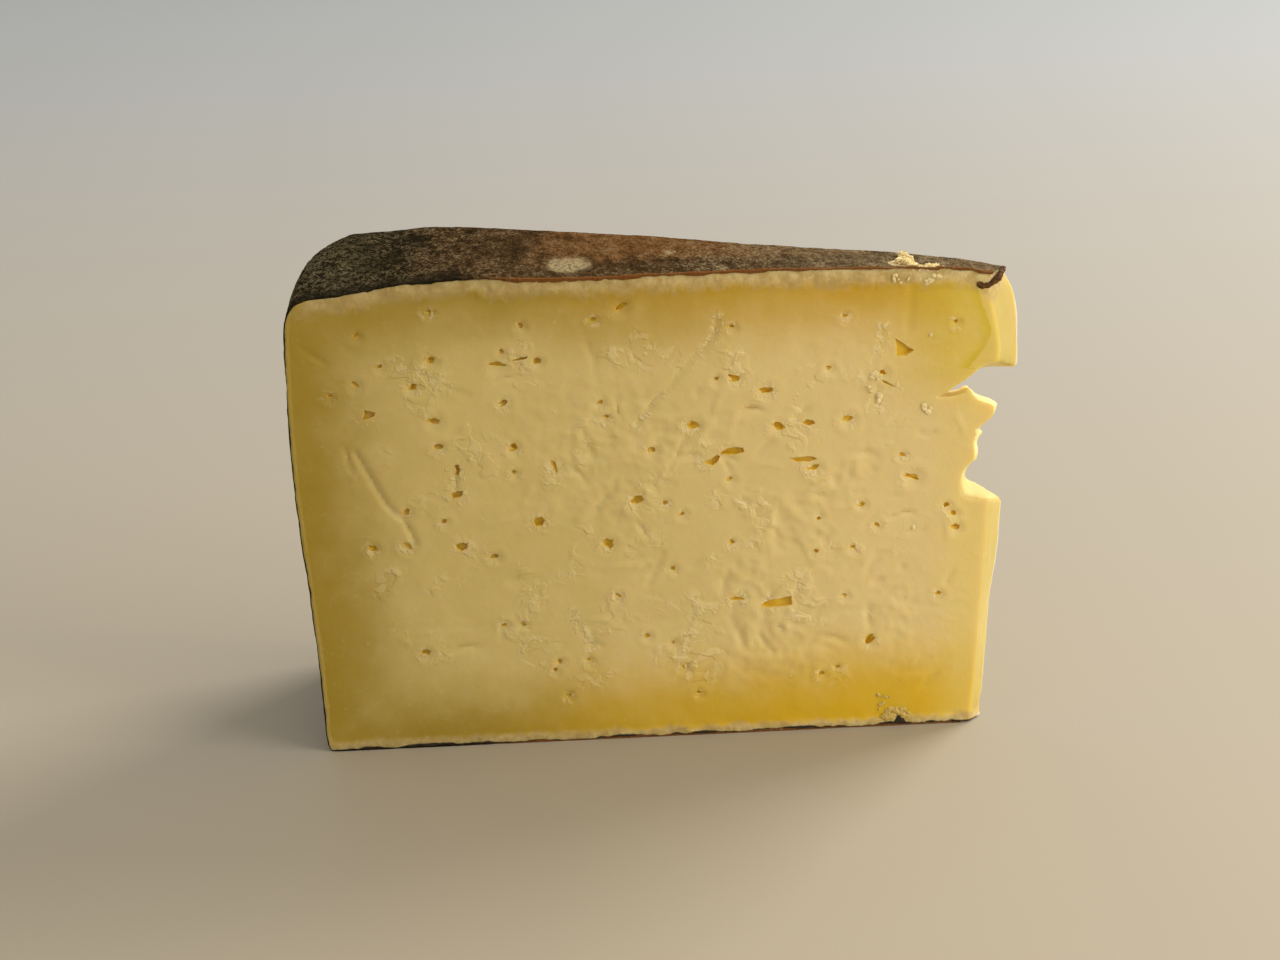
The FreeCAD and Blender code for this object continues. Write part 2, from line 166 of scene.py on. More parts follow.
# Larger openings of the front cut: centre x and z, depth, and their corners from the centre.
SHAPED_EYES = (
    (-15.5, 68.8, 0.62, ((-1.2, 1.8), (-0.2, 1.1), (0.3, 0.7), (2.0, -0.5), (0.7, -1.3), (-0.9, -1.5),
        (-1.0, 0.0))),
    (-35.6, 24.2, 0.85, ((-2.8, -0.5), (-2.0, 0.2), (-0.6, 0.6), (1.2, 0.9), (2.7, 1.1), (2.7, -0.5),
        (1.4, -0.7), (0.0, -0.8), (-1.4, -0.9))),
    (-43.6, 51.8, 0.85, ((-2.1, -0.5), (-1.3, 0.3), (0.3, 0.8), (2.0, 0.6), (2.3, 0.0), (1.2, -0.5),
        (-0.6, -0.5))),
    (-46.9, 50.4, 0.85, ((-1.4, -0.1), (0.1, 0.3), (1.0, 1.0), (1.5, 0.6), (0.9, -0.4), (0.0, -0.9),
        (-1.0, -0.6))),
    (-103.1, 60.3, 0.80, ((-0.7, 1.0), (0.2, 0.7), (1.2, 0.4), (1.1, -0.2), (0.1, -0.6), (-1.0, -0.8),
        (-0.6, 0.1))),
    (-75.8, 40.7, 0.70, ((-0.6, 0.8), (0.5, 0.9), (1.0, 0.2), (0.6, -0.7), (-0.5, -0.8), (-0.9, -0.1))),
    (-88.7, 36.7, 0.70, ((-1.0, 0.5), (0.0, 0.8), (1.0, 0.5), (0.7, -0.4), (-0.1, -0.8), (-0.9, -0.3))),
    (-89.0, 50.3, 0.70, ((-0.5, 0.9), (0.3, 0.9), (0.4, 0.0), (0.2, -0.9), (-0.3, -0.8), (-0.2, 0.0))),
    (-89.1, 46.1, 0.75, ((-1.1, 0.1), (-0.2, 0.5), (0.9, 0.6), (0.8, -0.2), (0.2, -0.6), (-0.8, -0.6))),
    (-31.4, 50.0, 0.55, ((-2.4, 0.2), (-0.8, 0.5), (1.2, 0.5), (2.4, 0.0), (1.0, -0.5), (-1.2, -0.4))),
    (-17.4, 62.8, 0.60, ((-1.4, 0.8), (-0.4, 0.3), (1.2, -0.8), (0.2, -0.5), (-1.0, 0.1))),
    (-30.8, 56.4, 0.70, ((-1.0, -0.1), (-0.2, 0.6), (0.7, 0.4), (1.2, -0.2), (0.2, -0.5))),
    (-78.3, 69.0, 0.50, ((-1.4, -0.2), (-0.2, 0.3), (1.4, 0.4), (1.2, 0.0), (-0.2, -0.3))),
)
# Grooves of the front cut: depth, half width, and the places they run through.
GROOVES = (
    (0.40, 0.50, ((-105.3, 54.0), (-102.2, 47.7), (-100.6, 44.6), (-97.8, 41.6), (-96.1, 37.7))),
    (0.28, 0.40, ((-107.0, 54.9), (-106.1, 50.7))),
    (0.22, 0.35, ((-113.0, 72.0), (-109.5, 69.5))),
    (0.12, 0.80, ((-14.0, 80.0), (-14.3, 72.0))),
    (0.06, 0.60, ((-105.0, 22.4), (-60.0, 21.8), (-2.0, 22.6))),
    (0.30, 0.45, ((-38.4, 18.6), (-37.2, 16.6), (-36.0, 15.0))),
    (0.25, 0.35, ((-12.0, 54.0), (-10.6, 53.6), (-9.2, 54.0))),
    (0.30, 0.40, ((-37.4, 38.4), (-36.0, 37.6), (-35.2, 36.0))),
    (0.25, 0.40, ((-29.0, 43.8), (-27.6, 43.2), (-26.4, 43.4))),
    (0.30, 0.50, ((-89.3, 49.6), (-89.2, 46.8))),
    (0.25, 0.60, ((-68.0, 56.0), (-66.5, 52.0))),
    (0.25, 0.60, ((-55.0, 34.0), (-57.5, 28.5))),
    (0.22, 0.70, ((-41.0, 17.0), (-43.5, 22.0), (-42.5, 24.0))),
)
# Cracks of the front cut with crumbling lips, drawn as the grooves are.
SEAMS = (
    (0.30, 0.45, ((-46.1, 74.9), (-46.4, 72.1), (-48.2, 69.4), (-49.4, 68.8), (-51.7, 66.6), (-53.6, 63.8),
                  (-56.1, 61.6), (-59.2, 57.1))),
    (0.20, 0.35, ((-18.6, 72.5), (-19.0, 69.5), (-19.9, 66.5), (-19.4, 64.0), (-19.2, 60.5), (-18.6, 58.5))),
    (0.15, 0.30, ((-96.5, 67.8), (-93.5, 67.2), (-91.0, 65.0), (-86.5, 63.0))),
    (0.15, 0.30, ((-70.5, 24.0), (-69.0, 20.5), (-67.2, 18.0), (-67.8, 14.0))),
    (0.15, 0.30, ((-49.5, 24.0), (-51.0, 19.5), (-52.5, 16.0), (-51.6, 12.8))),
)
# Where the cut breaks over to the nose, as (height, along), from the foot up; below the break's upper
# edge there is no crease, so it lies past the nose.
CREASE = (
    (0.0, 20.0), (64.0, 20.0), (65.0, -4.3), (66.8, -2.8), (68.5, -1.4), (70.4, -0.6), (72.0, -0.8),
    (74.6, -1.6), (76.0, -2.3), (79.0, -3.1), (82.0, -3.4),
)
# Seed of Blender's own noise, so that every run gives the same shapes.
NOISE_SEED = 1
# Rounds of corner cutting that smooth a drawn line.
CORNER_ROUNDS = 3
# How far the shoulder of the rim swells up between the two cuts.
HUMP_RISE = 1.3


def smooth_step(low, high, value):
    """Rise smoothly from 0 to 1 between two limits."""
    share = np.clip((value - low) / (high - low), 0, 1)
    return share * share * (3 - 2 * share)


def rounded(points):
    """Cut the corners of a drawn line until it runs smooth; its two ends stay."""
    line = np.array(points, float)
    for _ in range(CORNER_ROUNDS):
        early = line[:-1] * 0.75 + line[1:] * 0.25
        late = line[:-1] * 0.25 + line[1:] * 0.75
        between = np.empty((2 * len(early), 2))
        between[0::2] = early
        between[1::2] = late
        line = np.vstack([line[:1], between, line[-1:]])
    return line


def at_share(points, share):
    """Places at these shares of the length of a smoothed line."""
    line = rounded(points)
    reach = np.concatenate([[0.0], np.cumsum(np.linalg.norm(np.diff(line, axis=0), axis=1))])
    reach /= reach[-1]
    return np.stack([np.interp(share, reach, line[:, k]) for k in range(2)], axis=-1)


def blend(first, second, share):
    """Go from one set of places to another."""
    return first + (second - first) * np.asarray(share)[..., None]


def across_wedge(front, back, share, across):
    """Places at these shares of an outline that changes from the front cut to the back one."""
    return blend(at_share(front, share), at_share(back, share), across)


def place(along, across, z=FOOT_HEIGHT):
    """Turn a way along a cut, and a share of the way from the front cut to the back one, into x and y."""
    turn = across * RIM_TURN
    out = -along / RIM
    pinch = 1 - smooth_step(0.0, FOOT_HEIGHT, z)
    near = across * (1 - out)
    x = (NOSE_X - FOOT_PINCH[0] * pinch) * near - RIM * np.cos(turn) * out
    y = (NOSE_Y - FOOT_PINCH[1] * pinch) * near + RIM * np.sin(turn) * out
    return x, y


def hump(along, up, across):
    """How much higher the shoulder of the rim lies between the two cuts."""
    return HUMP_RISE * np.sin(np.pi * across) * smooth_step(-100, -110, along) * smooth_step(75, 80, up)


def top_height(x, y):
    """Height of the top of the wheel over a place, from the two cut edges."""
    radius = np.hypot(x, y)
    share = np.clip(np.arctan2(y, np.maximum(-x, 0.5)) / RIM_TURN, 0, 1)
    front, back = (np.interp(-radius, *rounded(points).T) for points in (TOP_FRONT, TOP_BACK))
    return front + (back - front) * share


def side_radius(z):
    """Radius of the side of the wheel at a height."""
    along, up = rounded(SIDE).T
    return -np.interp(z, up, along)


# ---------------------------------------------------------------------------------------------------
# Mesh helpers
# ---------------------------------------------------------------------------------------------------


def vertex_vectors(mesh, key="co"):
    """Three numbers of each vertex of a mesh, as it stores them."""
    flat = np.empty(len(mesh.vertices) * 3)
    mesh.vertices.foreach_get(key, flat)
    return flat.reshape(-1, 3)


def read_places(mesh):
    """The places of a mesh's vertices, in the wedge's own millimetres."""
    return (vertex_vectors(mesh) - np.array(AXIS)) / MM


def write_places(mesh, places):
    """Put a mesh's vertices at places given in the wedge's own millimetres."""
    mesh.vertices.foreach_set("co", (places * MM + np.array(AXIS)).ravel())
    mesh.update()


def fractal_at(places, grain, octaves, seed):
    """Smooth random relief from about -1 to 1, whose lumps are about a grain across."""
    shift = Vector((seed, seed * 1.7, -seed))
    return np.array([noise.fractal(Vector(p) / grain + shift, 0.9, 2.1, octaves) for p in places])


def new_mesh(name, bm, materials=()):
    """Turn a bmesh into a mesh with its materials, and free it."""
    mesh = bpy.data.meshes.new(name)
    bm.to_mesh(mesh)
    bm.free()
    for material in materials:
        mesh.materials.append(material)
    return mesh


def put_in_scene(name, data):
    """Make an object of a mesh, curve, lamp or camera and link it to the scene."""
    item = bpy.data.objects.new(name, data)
    bpy.context.scene.collection.objects.link(item)
    return item


def shade(mesh, angle):
    """Shade smooth, but keep edges sharper than an angle crisp."""
    mesh.shade_smooth()
    mesh.set_sharp_from_angle(angle=math.radians(angle))


def grid_cube(bm, cells):
    """Cut a unit cube's faces into a grid, with so many cells along x, y and z."""
    bmesh.ops.create_cube(bm, size=1.0, matrix=Matrix.Translation((0.5, 0.5, 0.5)))
    for axis, count in enumerate(cells):
        edges = [e for e in bm.edges if abs((e.verts[0].co - e.verts[1].co)[axis]) > 0.5 / max(cells)]
        bmesh.ops.subdivide_edges(bm, edges=edges, cuts=count - 1, use_grid_fill=True)


def new_verts(geometry):
    """The vertices among what an operator gives back."""
    return [item for item in geometry if isinstance(item, bmesh.types.BMVert)]


def once(items):
    """Each item once, in the order in which they first come."""
    return list(dict.fromkeys(items))


def scaled(way, size):
    """Stretch a vector by a size along each axis."""
    return Vector(part * by for part, by in zip(way, size))


def bake(piece):
    """Put what a piece's modifiers make into its own mesh."""
    bpy.context.view_layer.update()
    evaluated = piece.evaluated_get(bpy.context.evaluated_depsgraph_get())
    baked = bpy.data.meshes.new_from_object(evaluated)
    piece.modifiers.clear()
    old = piece.data
    piece.data = baked
    bpy.data.meshes.remove(old)
    baked.name = piece.name


def carve(piece, cutter):
    """Take a cutter's shape out of a piece and throw the cutter away."""
    cut = piece.modifiers.new("carve", "BOOLEAN")
    cut.operation = "DIFFERENCE"
    cut.solver = "MANIFOLD"
    cut.object = cutter
    bake(piece)
    bpy.data.objects.remove(cutter)


# ---------------------------------------------------------------------------------------------------
# Shader helpers
# ---------------------------------------------------------------------------------------------------


class Value:
    """A socket of a material that can stand in a sum."""

    def __init__(self, shader, socket):
        self.shader = shader
        self.socket = socket

    def __add__(self, other):
        return self.shader.math("ADD", self, other)

    __radd__ = __add__

    def __sub__(self, other):
        return self.shader.math("SUBTRACT", self, other)

    def __rsub__(self, other):
        return self.shader.math("SUBTRACT", other, self)

    def __mul__(self, other):
        return self.shader.math("MULTIPLY", self, other)

    __rmul__ = __mul__


class Shader:
    """Builds one material: settings of a node first, then its values and links."""

    def __init__(self, name):
        self.material = bpy.data.materials.new(name)
        self.material.use_nodes = True
        self.tree = self.material.node_tree
        self.tree.nodes.clear()

    def node(self, kind, settings=None, sockets=None, output=0):
        """Add a node and give one of its outputs."""
        made = self.tree.nodes.new(kind)
        for key, setting in (settings or {}).items():
            setattr(made, key, setting)
        for key, value in (sockets or {}).items():
            socket = made.inputs[key]
            if isinstance(value, Value):
                self.tree.links.new(value.socket, socket)
            else:
                socket.default_value = (*value, 1.0) if socket.type == "RGBA" else value
        return Value(self, made.outputs[output]) if len(made.outputs) else None

    def math(self, operation, first, second=0.0):
        """Work out a number from one or two others."""
        return self.node("ShaderNodeMath", {"operation": operation}, {0: first, 1: second})

    def step(self, low, high, value):
        """Rise smoothly from 0 to 1 between two limits."""
        return self.node(
            "ShaderNodeMapRange", {"interpolation_type": "SMOOTHSTEP"},
            {"Value": value, "From Min": low, "From Max": high, "To Min": 0.0, "To Max": 1.0})

    def mix(self, share, first, second):
        """Mix two colours."""
        return self.node("ShaderNodeMix", {"data_type": "RGBA"}, {0: share, 6: first, 7: second}, output=2)

    def millimetres(self):
        """The place on the surface, in the wedge's own millimetres."""
        spot = self.node("ShaderNodeTexCoord", output="Object")
        moved = self.node("ShaderNodeVectorMath", {"operation": "SUBTRACT"}, {0: spot, 1: AXIS})
        return self.node("ShaderNodeVectorMath", {"operation": "SCALE"}, {0: moved, "Scale": 1 / MM})

    def part(self, vector, axis):
        """One of the three numbers of a vector."""
        return self.node("ShaderNodeSeparateXYZ", None, {0: vector}, output=axis)

    def distance(self, vector, spot):
        """How far a place lies from a spot."""
        return self.node(
            "ShaderNodeVectorMath", {"operation": "DISTANCE"}, {0: vector, 1: spot}, output="Value")

    def noise(self, vector, grain, detail=3.0, roughness=0.5, distortion=0.0):
        """Random grain, from 0 to 1, whose lumps are about so many millimetres across."""
        return self.node("ShaderNodeTexNoise", None, {
            "Vector": vector, "Scale": 1 / grain, "Detail": detail, "Roughness": roughness,
            "Distortion": distortion})

    def stretch(self, vector, scale):
        """Squeeze a pattern along its axes; a smaller scale makes it longer."""
        return self.node("ShaderNodeMapping", None, {"Vector": vector, "Scale": scale})

    def attribute(self, name):
        """A number that the mesh carries."""
        return self.node("ShaderNodeAttribute", {"attribute_name": name}, output="Fac")

    def bump(self, height, distance, strength=1.0):
        """Relief whose full height is a distance in millimetres."""
        return self.node("ShaderNodeBump", None, {
            "Height": height, "Distance": distance * MM, "Strength": strength})

    def surface(self, **sockets):
        """Finish the material with a Principled surface."""
        bsdf = self.node("ShaderNodeBsdfPrincipled", None, {
            name.replace("_", " "): value for name, value in sockets.items()})
        self.node("ShaderNodeOutputMaterial", None, {"Surface": bsdf})
        return self.material


def sway(grain, reach):
    """Turn a grain into a way to and fro, so far from end to end."""
    return (grain - 0.5) * reach


# ---------------------------------------------------------------------------------------------------
# Materials
# ---------------------------------------------------------------------------------------------------

# Colours of the paste beside those of the panel.
# The first colour darkens the far left of the cut: partly the paste's own ochre, partly painted shade.
RIM_OCHRE_AND_SHADE = (0.39, 0.275, 0.066)
FOOT_GOLD = (0.75, 0.475, 0.012)
LOBE_GOLD, LOBE_PALE = (0.67, 0.470, 0.030), (0.74, 0.565, 0.125)
# The second nose colour is painted shade, darkening the nose facet that faces the side lamp.
NOSE_CREAM, NOSE_FACET_SHADE = (0.84, 0.64, 0.16), (0.56, 0.430, 0.120)
LEMON = (0.66, 0.47, 0.0)
CLOUD, SPECK = (0.80, 0.62, 0.30), (0.86, 0.72, 0.38)
DRY_NEAR = (0.53, 0.370, 0.135)
DUST_FAR, DUST_NEAR = (0.56, 0.42, 0.18), (0.76, 0.59, 0.29)
# Flake colours: partly the flakes' own paler colour, partly painted highlight where lumps catch the light.
FLAKE_AND_HIGHLIGHT_FAR, FLAKE_AND_HIGHLIGHT_NEAR = (0.70, 0.56, 0.27), (0.90, 0.74, 0.40)
# Torn colours: painted shade on the ledge under the break, which faces the key lamp, and painted light on the
# crevice walls above it.
TORN_LEDGE_SHADE, TORN_WALL_LIGHT = (0.62, 0.49, 0.17), (0.86, 0.71, 0.29)
# Eye colours: dull is painted shade in the pits, amber a painted glow of light through the paste deeper in;
# both brighter nearer the nose.
AMBER_FAR, AMBER_NEAR = (0.58, 0.345, 0.016), (0.76, 0.450, 0.004)
DULL_FAR, DULL_NEAR = (0.52, 0.325, 0.032), (0.71, 0.455, 0.040)
# Colours of the rind beside those of the panel.
# The first colour is a dark strip at the foot of the cuts: partly the rind's edge, partly painted contact
# shadow.
FOOT_EDGE_AND_SHADOW = (0.030, 0.020, 0.010)
BALD_BLACK, RIM_BLACK = (0.012, 0.009, 0.005), (0.014, 0.011, 0.006)
SHOULDER_GREY = (0.130, 0.104, 0.053)
BORDER_RUST = (0.205, 0.075, 0.018)
SHRED_DARK, SHRED_BROWN = (0.040, 0.018, 0.006), (0.175, 0.078, 0.023)
# Colours of the crumbs, higher up and at the foot.
CRUMB_DULL, CRUMB_DULL_FOOT = (0.70, 0.53, 0.22), (0.52, 0.34, 0.06)
CRUMB_PALE, CRUMB_PALE_FOOT = (0.90, 0.73, 0.37), (0.70, 0.51, 0.17)

# A dry smear on the nose under the curl, a nick in the foot of the front cut, and a bloom of mould on
# the top, squeezed by this scale.
SMEAR_AT = (-0.5, 0.8, 78.2)
NICK_AT = -13.4
BLOOM_AT, BLOOM_SCALE = (-69.6, 5.9, 0.0), (1.0, 0.75, 0.0)
# How light sinks into the paste.
SINK = {"Subsurface_Weight": 0.6, "Subsurface_Scale": 0.0018}


class Ground:
    """What the materials of the paste are worked out from: places, grains and the mesh's own marks."""

    def __init__(self, shader, look):
        self.shader = shader
        self.look = look
        self.spot = shader.millimetres()
        self.x, self.y, self.z = (shader.part(self.spot, axis) for axis in "XYZ")
        self.wide = shader.noise(self.spot, 22.0, 2.0)
        self.middle = shader.noise(self.spot, 5.0, 3.0)
        self.fine = shader.noise(self.spot, 0.9, 3.0, 0.6)
        self.depth = shader.attribute("under_rind")
        self.band = shader.attribute("chalk")
        # Share towards the nose: the colours it mixes darken towards the rim, partly in the paste's own
        # colour, partly as painted shade away from the lamps.
        self.right = shader.step(-95.0, -8.0, self.x + sway(self.wide, 20.0))


def ripe_paste(ground):
    """Creamy in the middle, golden towards the rind and the foot; gives the colour and the ripeness."""
    shader, look, x = ground.shader, ground.look, ground.x
    # Painted shade in part: the far left of the cut is darkened towards ochre.
    far_left = 1 - shader.step(-116.0, -90.0, x + sway(ground.middle, 3.0))
    cream = shader.mix(far_left * 0.66, shader.mix(ground.right, look.cream_far, look.cream), RIM_OCHRE_AND_SHADE)
    gold = shader.mix(ground.right, look.gold_far, look.gold)
    riper = 1 - shader.step(1.0, 17.0, ground.depth + sway(ground.middle, 2.5) + sway(ground.wide, 4.0))
    low = (1 - shader.step(4.0, 22.0, ground.z + sway(ground.wide, 5.0))) * shader.step(-90.0, -50.0, x)
    low = low * (shader.step(-48.0, -14.0, x) * 0.28 + 0.52)
    return shader.mix(low, shader.mix(riper, cream, gold), FOOT_GOLD), riper


def nose_tones(ground, colour):
    """The warm lobe over the break, the paler nose with painted shade on its facet, and the lemon crease
    between the cut and the nose.
    """
    shader, x = ground.shader, ground.x
    lobe = shader.step(-24.0, -2.0, x + sway(ground.wide, 8.0)) * (
        shader.step(56.0, 66.0, ground.z + sway(ground.middle, 8.0)))
    colour = shader.mix(lobe * 0.85, colour, LOBE_GOLD)
    colour = shader.mix(shader.step(-11.0, -1.0, x) * 0.55, colour, NOSE_CREAM)
    # Painted shade: the nose facet, which faces the side lamp, is darkened.
    end = shader.step(0.25, 1.0, ground.y) * shader.step(-5.0, -1.0, x)
    colour = shader.mix(end * 0.85, colour, NOSE_FACET_SHADE)
    crease = shader.attribute("crease") + sway(ground.middle, 1.4) + sway(ground.fine, 0.8)
    past = shader.step(-0.15, 0.20, crease)
    near = shader.step(-2.6, -0.1, crease) * (1 - past)
    return shader.mix(past * (1 - end) * 0.55, shader.mix(near * 0.75, colour, LEMON), LOBE_PALE)


def dry_band(ground, colour):
    """The chalky band under the rind, and the smear of it on the nose."""
    shader = ground.shader
    lumps = shader.noise(shader.stretch(ground.spot, (1.0, 1.0, 0.7)), 2.2, 3.0, 0.6)
    chalk = 1 - shader.step(0.55, 1.45, ground.band + sway(ground.middle, 0.9) + sway(lumps, 1.7))
    chalk = chalk * (shader.step(-114.6, -110.0, ground.x + sway(ground.middle, 2.0)) * 0.75 + 0.25)
    away = shader.distance(ground.spot, SMEAR_AT)
    smear = 1 - shader.step(1.3, 2.6, away + sway(ground.middle, 1.6))
    # Darker towards the rim, partly as painted shade.
    dry = shader.mix(ground.right, ground.look.chalk, DRY_NEAR)
    dust = shader.mix(ground.right, DUST_FAR, DUST_NEAR)
    chalky = shader.mix(shader.step(0.38, 0.66, lumps * 0.7 + ground.fine * 0.3), dry, dust)
    return shader.mix(shader.math("MAXIMUM", chalk, smear * 0.8) * 0.9, colour, chalky)


def foot_edge(ground, colour):
    """A ragged dark strip along the foot of the cuts, with a nick in it: partly the rind's worn edge, partly
    painted contact shadow.
    """
    shader = ground.shader
    worn = shader.noise(shader.stretch(ground.spot, (1.0, 0.3, 0.05)), 13.0, 3.0, 0.65)
    nick = 1 - shader.step(0.3, 1.2, shader.math("ABSOLUTE", ground.x - NICK_AT))
    height = shader.step(0.36, 0.60, worn) * 0.72 + nick * 1.5 + 0.06
    under = 1 - shader.step(-0.12, 0.12, ground.z - height + sway(ground.fine, 0.3))
    return shader.mix(under, colour, FOOT_EDGE_AND_SHADOW)


def paste_colour(ground):
    """Colour of the cut paste."""
    shader = ground.shader
    colour, riper = ripe_paste(ground)
    colour = nose_tones(ground, colour)
    cloudy = shader.step(0.40, 0.70, ground.middle * 0.6 + ground.wide * 0.4)
    colour = shader.mix(cloudy * (0.22 - riper * 0.18), colour, CLOUD)
    colour = foot_edge(ground, dry_band(ground, colour))
    return shader.mix(shader.step(0.60, 0.76, ground.fine) * 0.10, colour, SPECK)


def paste_material(look, torn):
    """Moist crumbly paste; torn paste is rougher, with painted light on the crevice walls and painted shade
    on the ledge.
    """
    shader = Shader("torn crumbly paste" if torn else "moist crumbly paste")
    ground = Ground(shader, look)
    spot, x, fine = ground.spot, ground.x, ground.fine
    colour = paste_colour(ground)
    if torn:
        # Painted light on the crevice walls above, painted shade on the ledge below, which faces the key
        # lamp.
        high = shader.step(44.0, 47.0, ground.z)
        colour = shader.mix(0.7, colour, shader.mix(high, TORN_LEDGE_SHADE, TORN_WALL_LIGHT))
    crumbly = shader.step(0.52, 0.64, shader.noise(spot, 9.0, 3.0)) * shader.step(7.0, 12.0, ground.depth)
    crumbly = crumbly * (1 - shader.step(-22.0, -12.0, x) * 0.8)
    squat = shader.stretch(spot, (1.0, 1.0, 1.4))
    flakes = shader.step(0.49, 0.545, shader.noise(squat, 4.6, 2.5, 0.5, 0.4))
    shells = shader.step(0.52, 0.58, shader.noise(spot, 2.3, 2.0, 0.5, 0.3))
    lips = shader.attribute("halo") * shader.step(0.36, 0.56, shader.noise(spot, 12.0, 2.0))
    bits_and_highlight = shader.step(0.50, 0.60, shader.noise(spot, 1.1, 3.0, 0.6)) * lips
    # Paler flakes and crumb lips: partly their own colour, partly painted highlight where lumps catch the
    # light, low and left of the openings.
    flake_and_highlight = shader.mix(shader.step(-95.0, -20.0, x), FLAKE_AND_HIGHLIGHT_FAR, FLAKE_AND_HIGHLIGHT_NEAR)
    colour = shader.mix(crumbly * shells * 0.30 + bits_and_highlight * 0.6, colour, flake_and_highlight)
    dry = 1 - shader.step(0.6, 1.4, ground.band)
    lumps = shader.noise(shader.stretch(spot, (1.0, 1.0, 0.8)), 2.0, 3.0, 0.6)
    skin = fine * 0.10 + shader.noise(spot, 0.35, 2.0) * 0.05 + ground.middle * 0.30
    relief = skin + crumbly * (flakes * 0.34 + shells * 0.24) + bits_and_highlight * 0.5 + dry * lumps * 0.8
    return shader.surface(
        Base_Color=colour, Roughness=shader.step(0.2, 0.9, fine) * 0.14 + (0.55 if torn else 0.42),
        Normal=shader.bump(relief, 0.30), Subsurface_Radius=(1.0, 0.6, 0.2), Specular_IOR_Level=0.28, **SINK)


def eye_material(look):
    """The walls of a curd eye: wetter than the cut, and deeper in colour by painted shade and a painted amber
    glow.
    """
    shader = Shader("curd eye with painted shade")
    ground = Ground(shader, look)
    lit = shader.step(-100.0, -10.0, ground.x + sway(shader.noise(ground.spot, 12.0), 50.0))
    amber = shader.mix(lit, AMBER_FAR, AMBER_NEAR)
    dull = shader.mix(lit, DULL_FAR, DULL_NEAR)
    pit = shader.attribute("pit") + sway(ground.fine, 0.25)
    pit_shade_and_glow = shader.mix(shader.step(0.2, 0.8, pit), dull, amber)
    colour = shader.mix(shader.step(0.0, 0.34, pit) * 0.92, paste_colour(ground), pit_shade_and_glow)
    return shader.surface(
        Base_Color=colour, Roughness=0.38, Normal=shader.bump(ground.fine, 0.10, 0.7),
        Subsurface_Radius=(1.0, 0.55, 0.1), Specular_IOR_Level=0.35, **SINK)


def rind_material(look):
    """Natural mould rind: black, brown and grey fields under fine felt, with pale blooms."""
    shader = Shader("dry mould rind")
    spot = shader.millimetres()
    x, y = shader.part(spot, "X"), shader.part(spot, "Y")
    drawn = shader.stretch(spot, (1.0, 0.62, 1.0))
    wide = shader.noise(spot, 16.0, 3.0, 0.6)
    middle = shader.noise(drawn, 3.2, 4.0, 0.65)
    fine = shader.noise(drawn, 0.95, 4.0, 0.75)
    grit = shader.noise(drawn, 0.42, 2.0, 0.8)

    # Fields of bare rind and mould, from the rim to the nose.
    shifted = x + sway(wide, 34.0) + sway(middle, 18.0)
    colour = shader.mix(shader.step(-97.0, -84.0, shifted), look.black, look.brown)
    warm = shader.step(-80.0, -66.0, shifted) * shader.step(6.0, 13.0, y + sway(middle, 12.0))
    colour = shader.mix(warm * 0.9, colour, look.russet)
    colour = shader.mix(shader.step(-50.0, -26.0, shifted) * 0.8, colour, look.grey)

    # Felt over the fields, and bald grains between.
    field = shader.step(0.42, 0.60, middle * 0.65 + wide * 0.35)
    thick = field * (0.52 + shader.step(-62.0, -45.0, x) * 0.23) + 0.04 + shader.step(-70.0, -20.0, x) * 0.35
    felt = shader.step(0.48, 0.57, fine * 0.55 + grit * 0.45) * thick
    colour = shader.mix(felt * 0.9, colour, look.felt)
    bald = shader.step(0.49, 0.57, (1 - fine) * 0.35 + (1 - grit) * 0.35 + (1 - middle) * 0.3) * (
        1 - shader.step(-86.0, -70.0, x) * 0.35)
    colour = shader.mix(bald * 0.85, colour, BALD_BLACK)

    # The grey shoulder, the black front of the rim and the rusty border of the top.
    speckle = fine * 0.6 + grit * 0.4
    shoulder = (1 - shader.step(-114.0, -96.0, x + sway(middle, 12.0))) * shader.step(0.46, 0.56, speckle)
    colour = shader.mix(shoulder * 0.75, colour, SHOULDER_GREY)
    rim = (1 - shader.step(1.0, 6.0, y + sway(middle, 8.0))) * (1 - shader.step(-94.0, -82.0, x))
    colour = shader.mix(rim * 0.8, colour, RIM_BLACK)
    border = (1 - shader.step(0.45, 1.20, y + sway(fine, 0.7))) * shader.step(-86.0, -76.0, x)
    colour = shader.mix(border * 0.8, colour, BORDER_RUST)

    # Dry blooms of mould.
    away = shader.distance(shader.stretch(spot, BLOOM_SCALE), BLOOM_AT)
    patch = 1 - shader.step(2.2, 4.2, away + sway(middle, 5.0))
    spots = shader.step(0.64, 0.70, shader.noise(drawn, 3.6, 4.0, 0.6)) * shader.step(-80.0, -66.0, x)
    bloom = shader.math("MAXIMUM", patch, spots * 0.75) * shader.step(0.34, 0.52, speckle)
    colour = shader.mix(bloom * 0.9, colour, look.bloom)
    return shader.surface(
        Base_Color=colour, Roughness=0.95, Normal=shader.bump(middle + fine * 0.55 + grit * 0.25, 0.6),
        Specular_IOR_Level=0.0)


def crumb_material():
    """Dry crumbs, paler than the paste; those at the foot are yellower."""
    shader = Shader("dry crumbs")
    spot = shader.millimetres()
    fine = shader.noise(spot, 0.8, 3.0, 0.7)
    foot = 1 - shader.step(8.0, 20.0, shader.part(spot, "Z"))
    dull = shader.mix(foot, CRUMB_DULL, CRUMB_DULL_FOOT)
    pale = shader.mix(foot, CRUMB_PALE, CRUMB_PALE_FOOT)
    return shader.surface(
        Base_Color=shader.mix(shader.step(0.3, 0.7, fine), dull, pale), Roughness=0.8,
        Normal=shader.bump(fine, 0.05), Specular_IOR_Level=0.1)


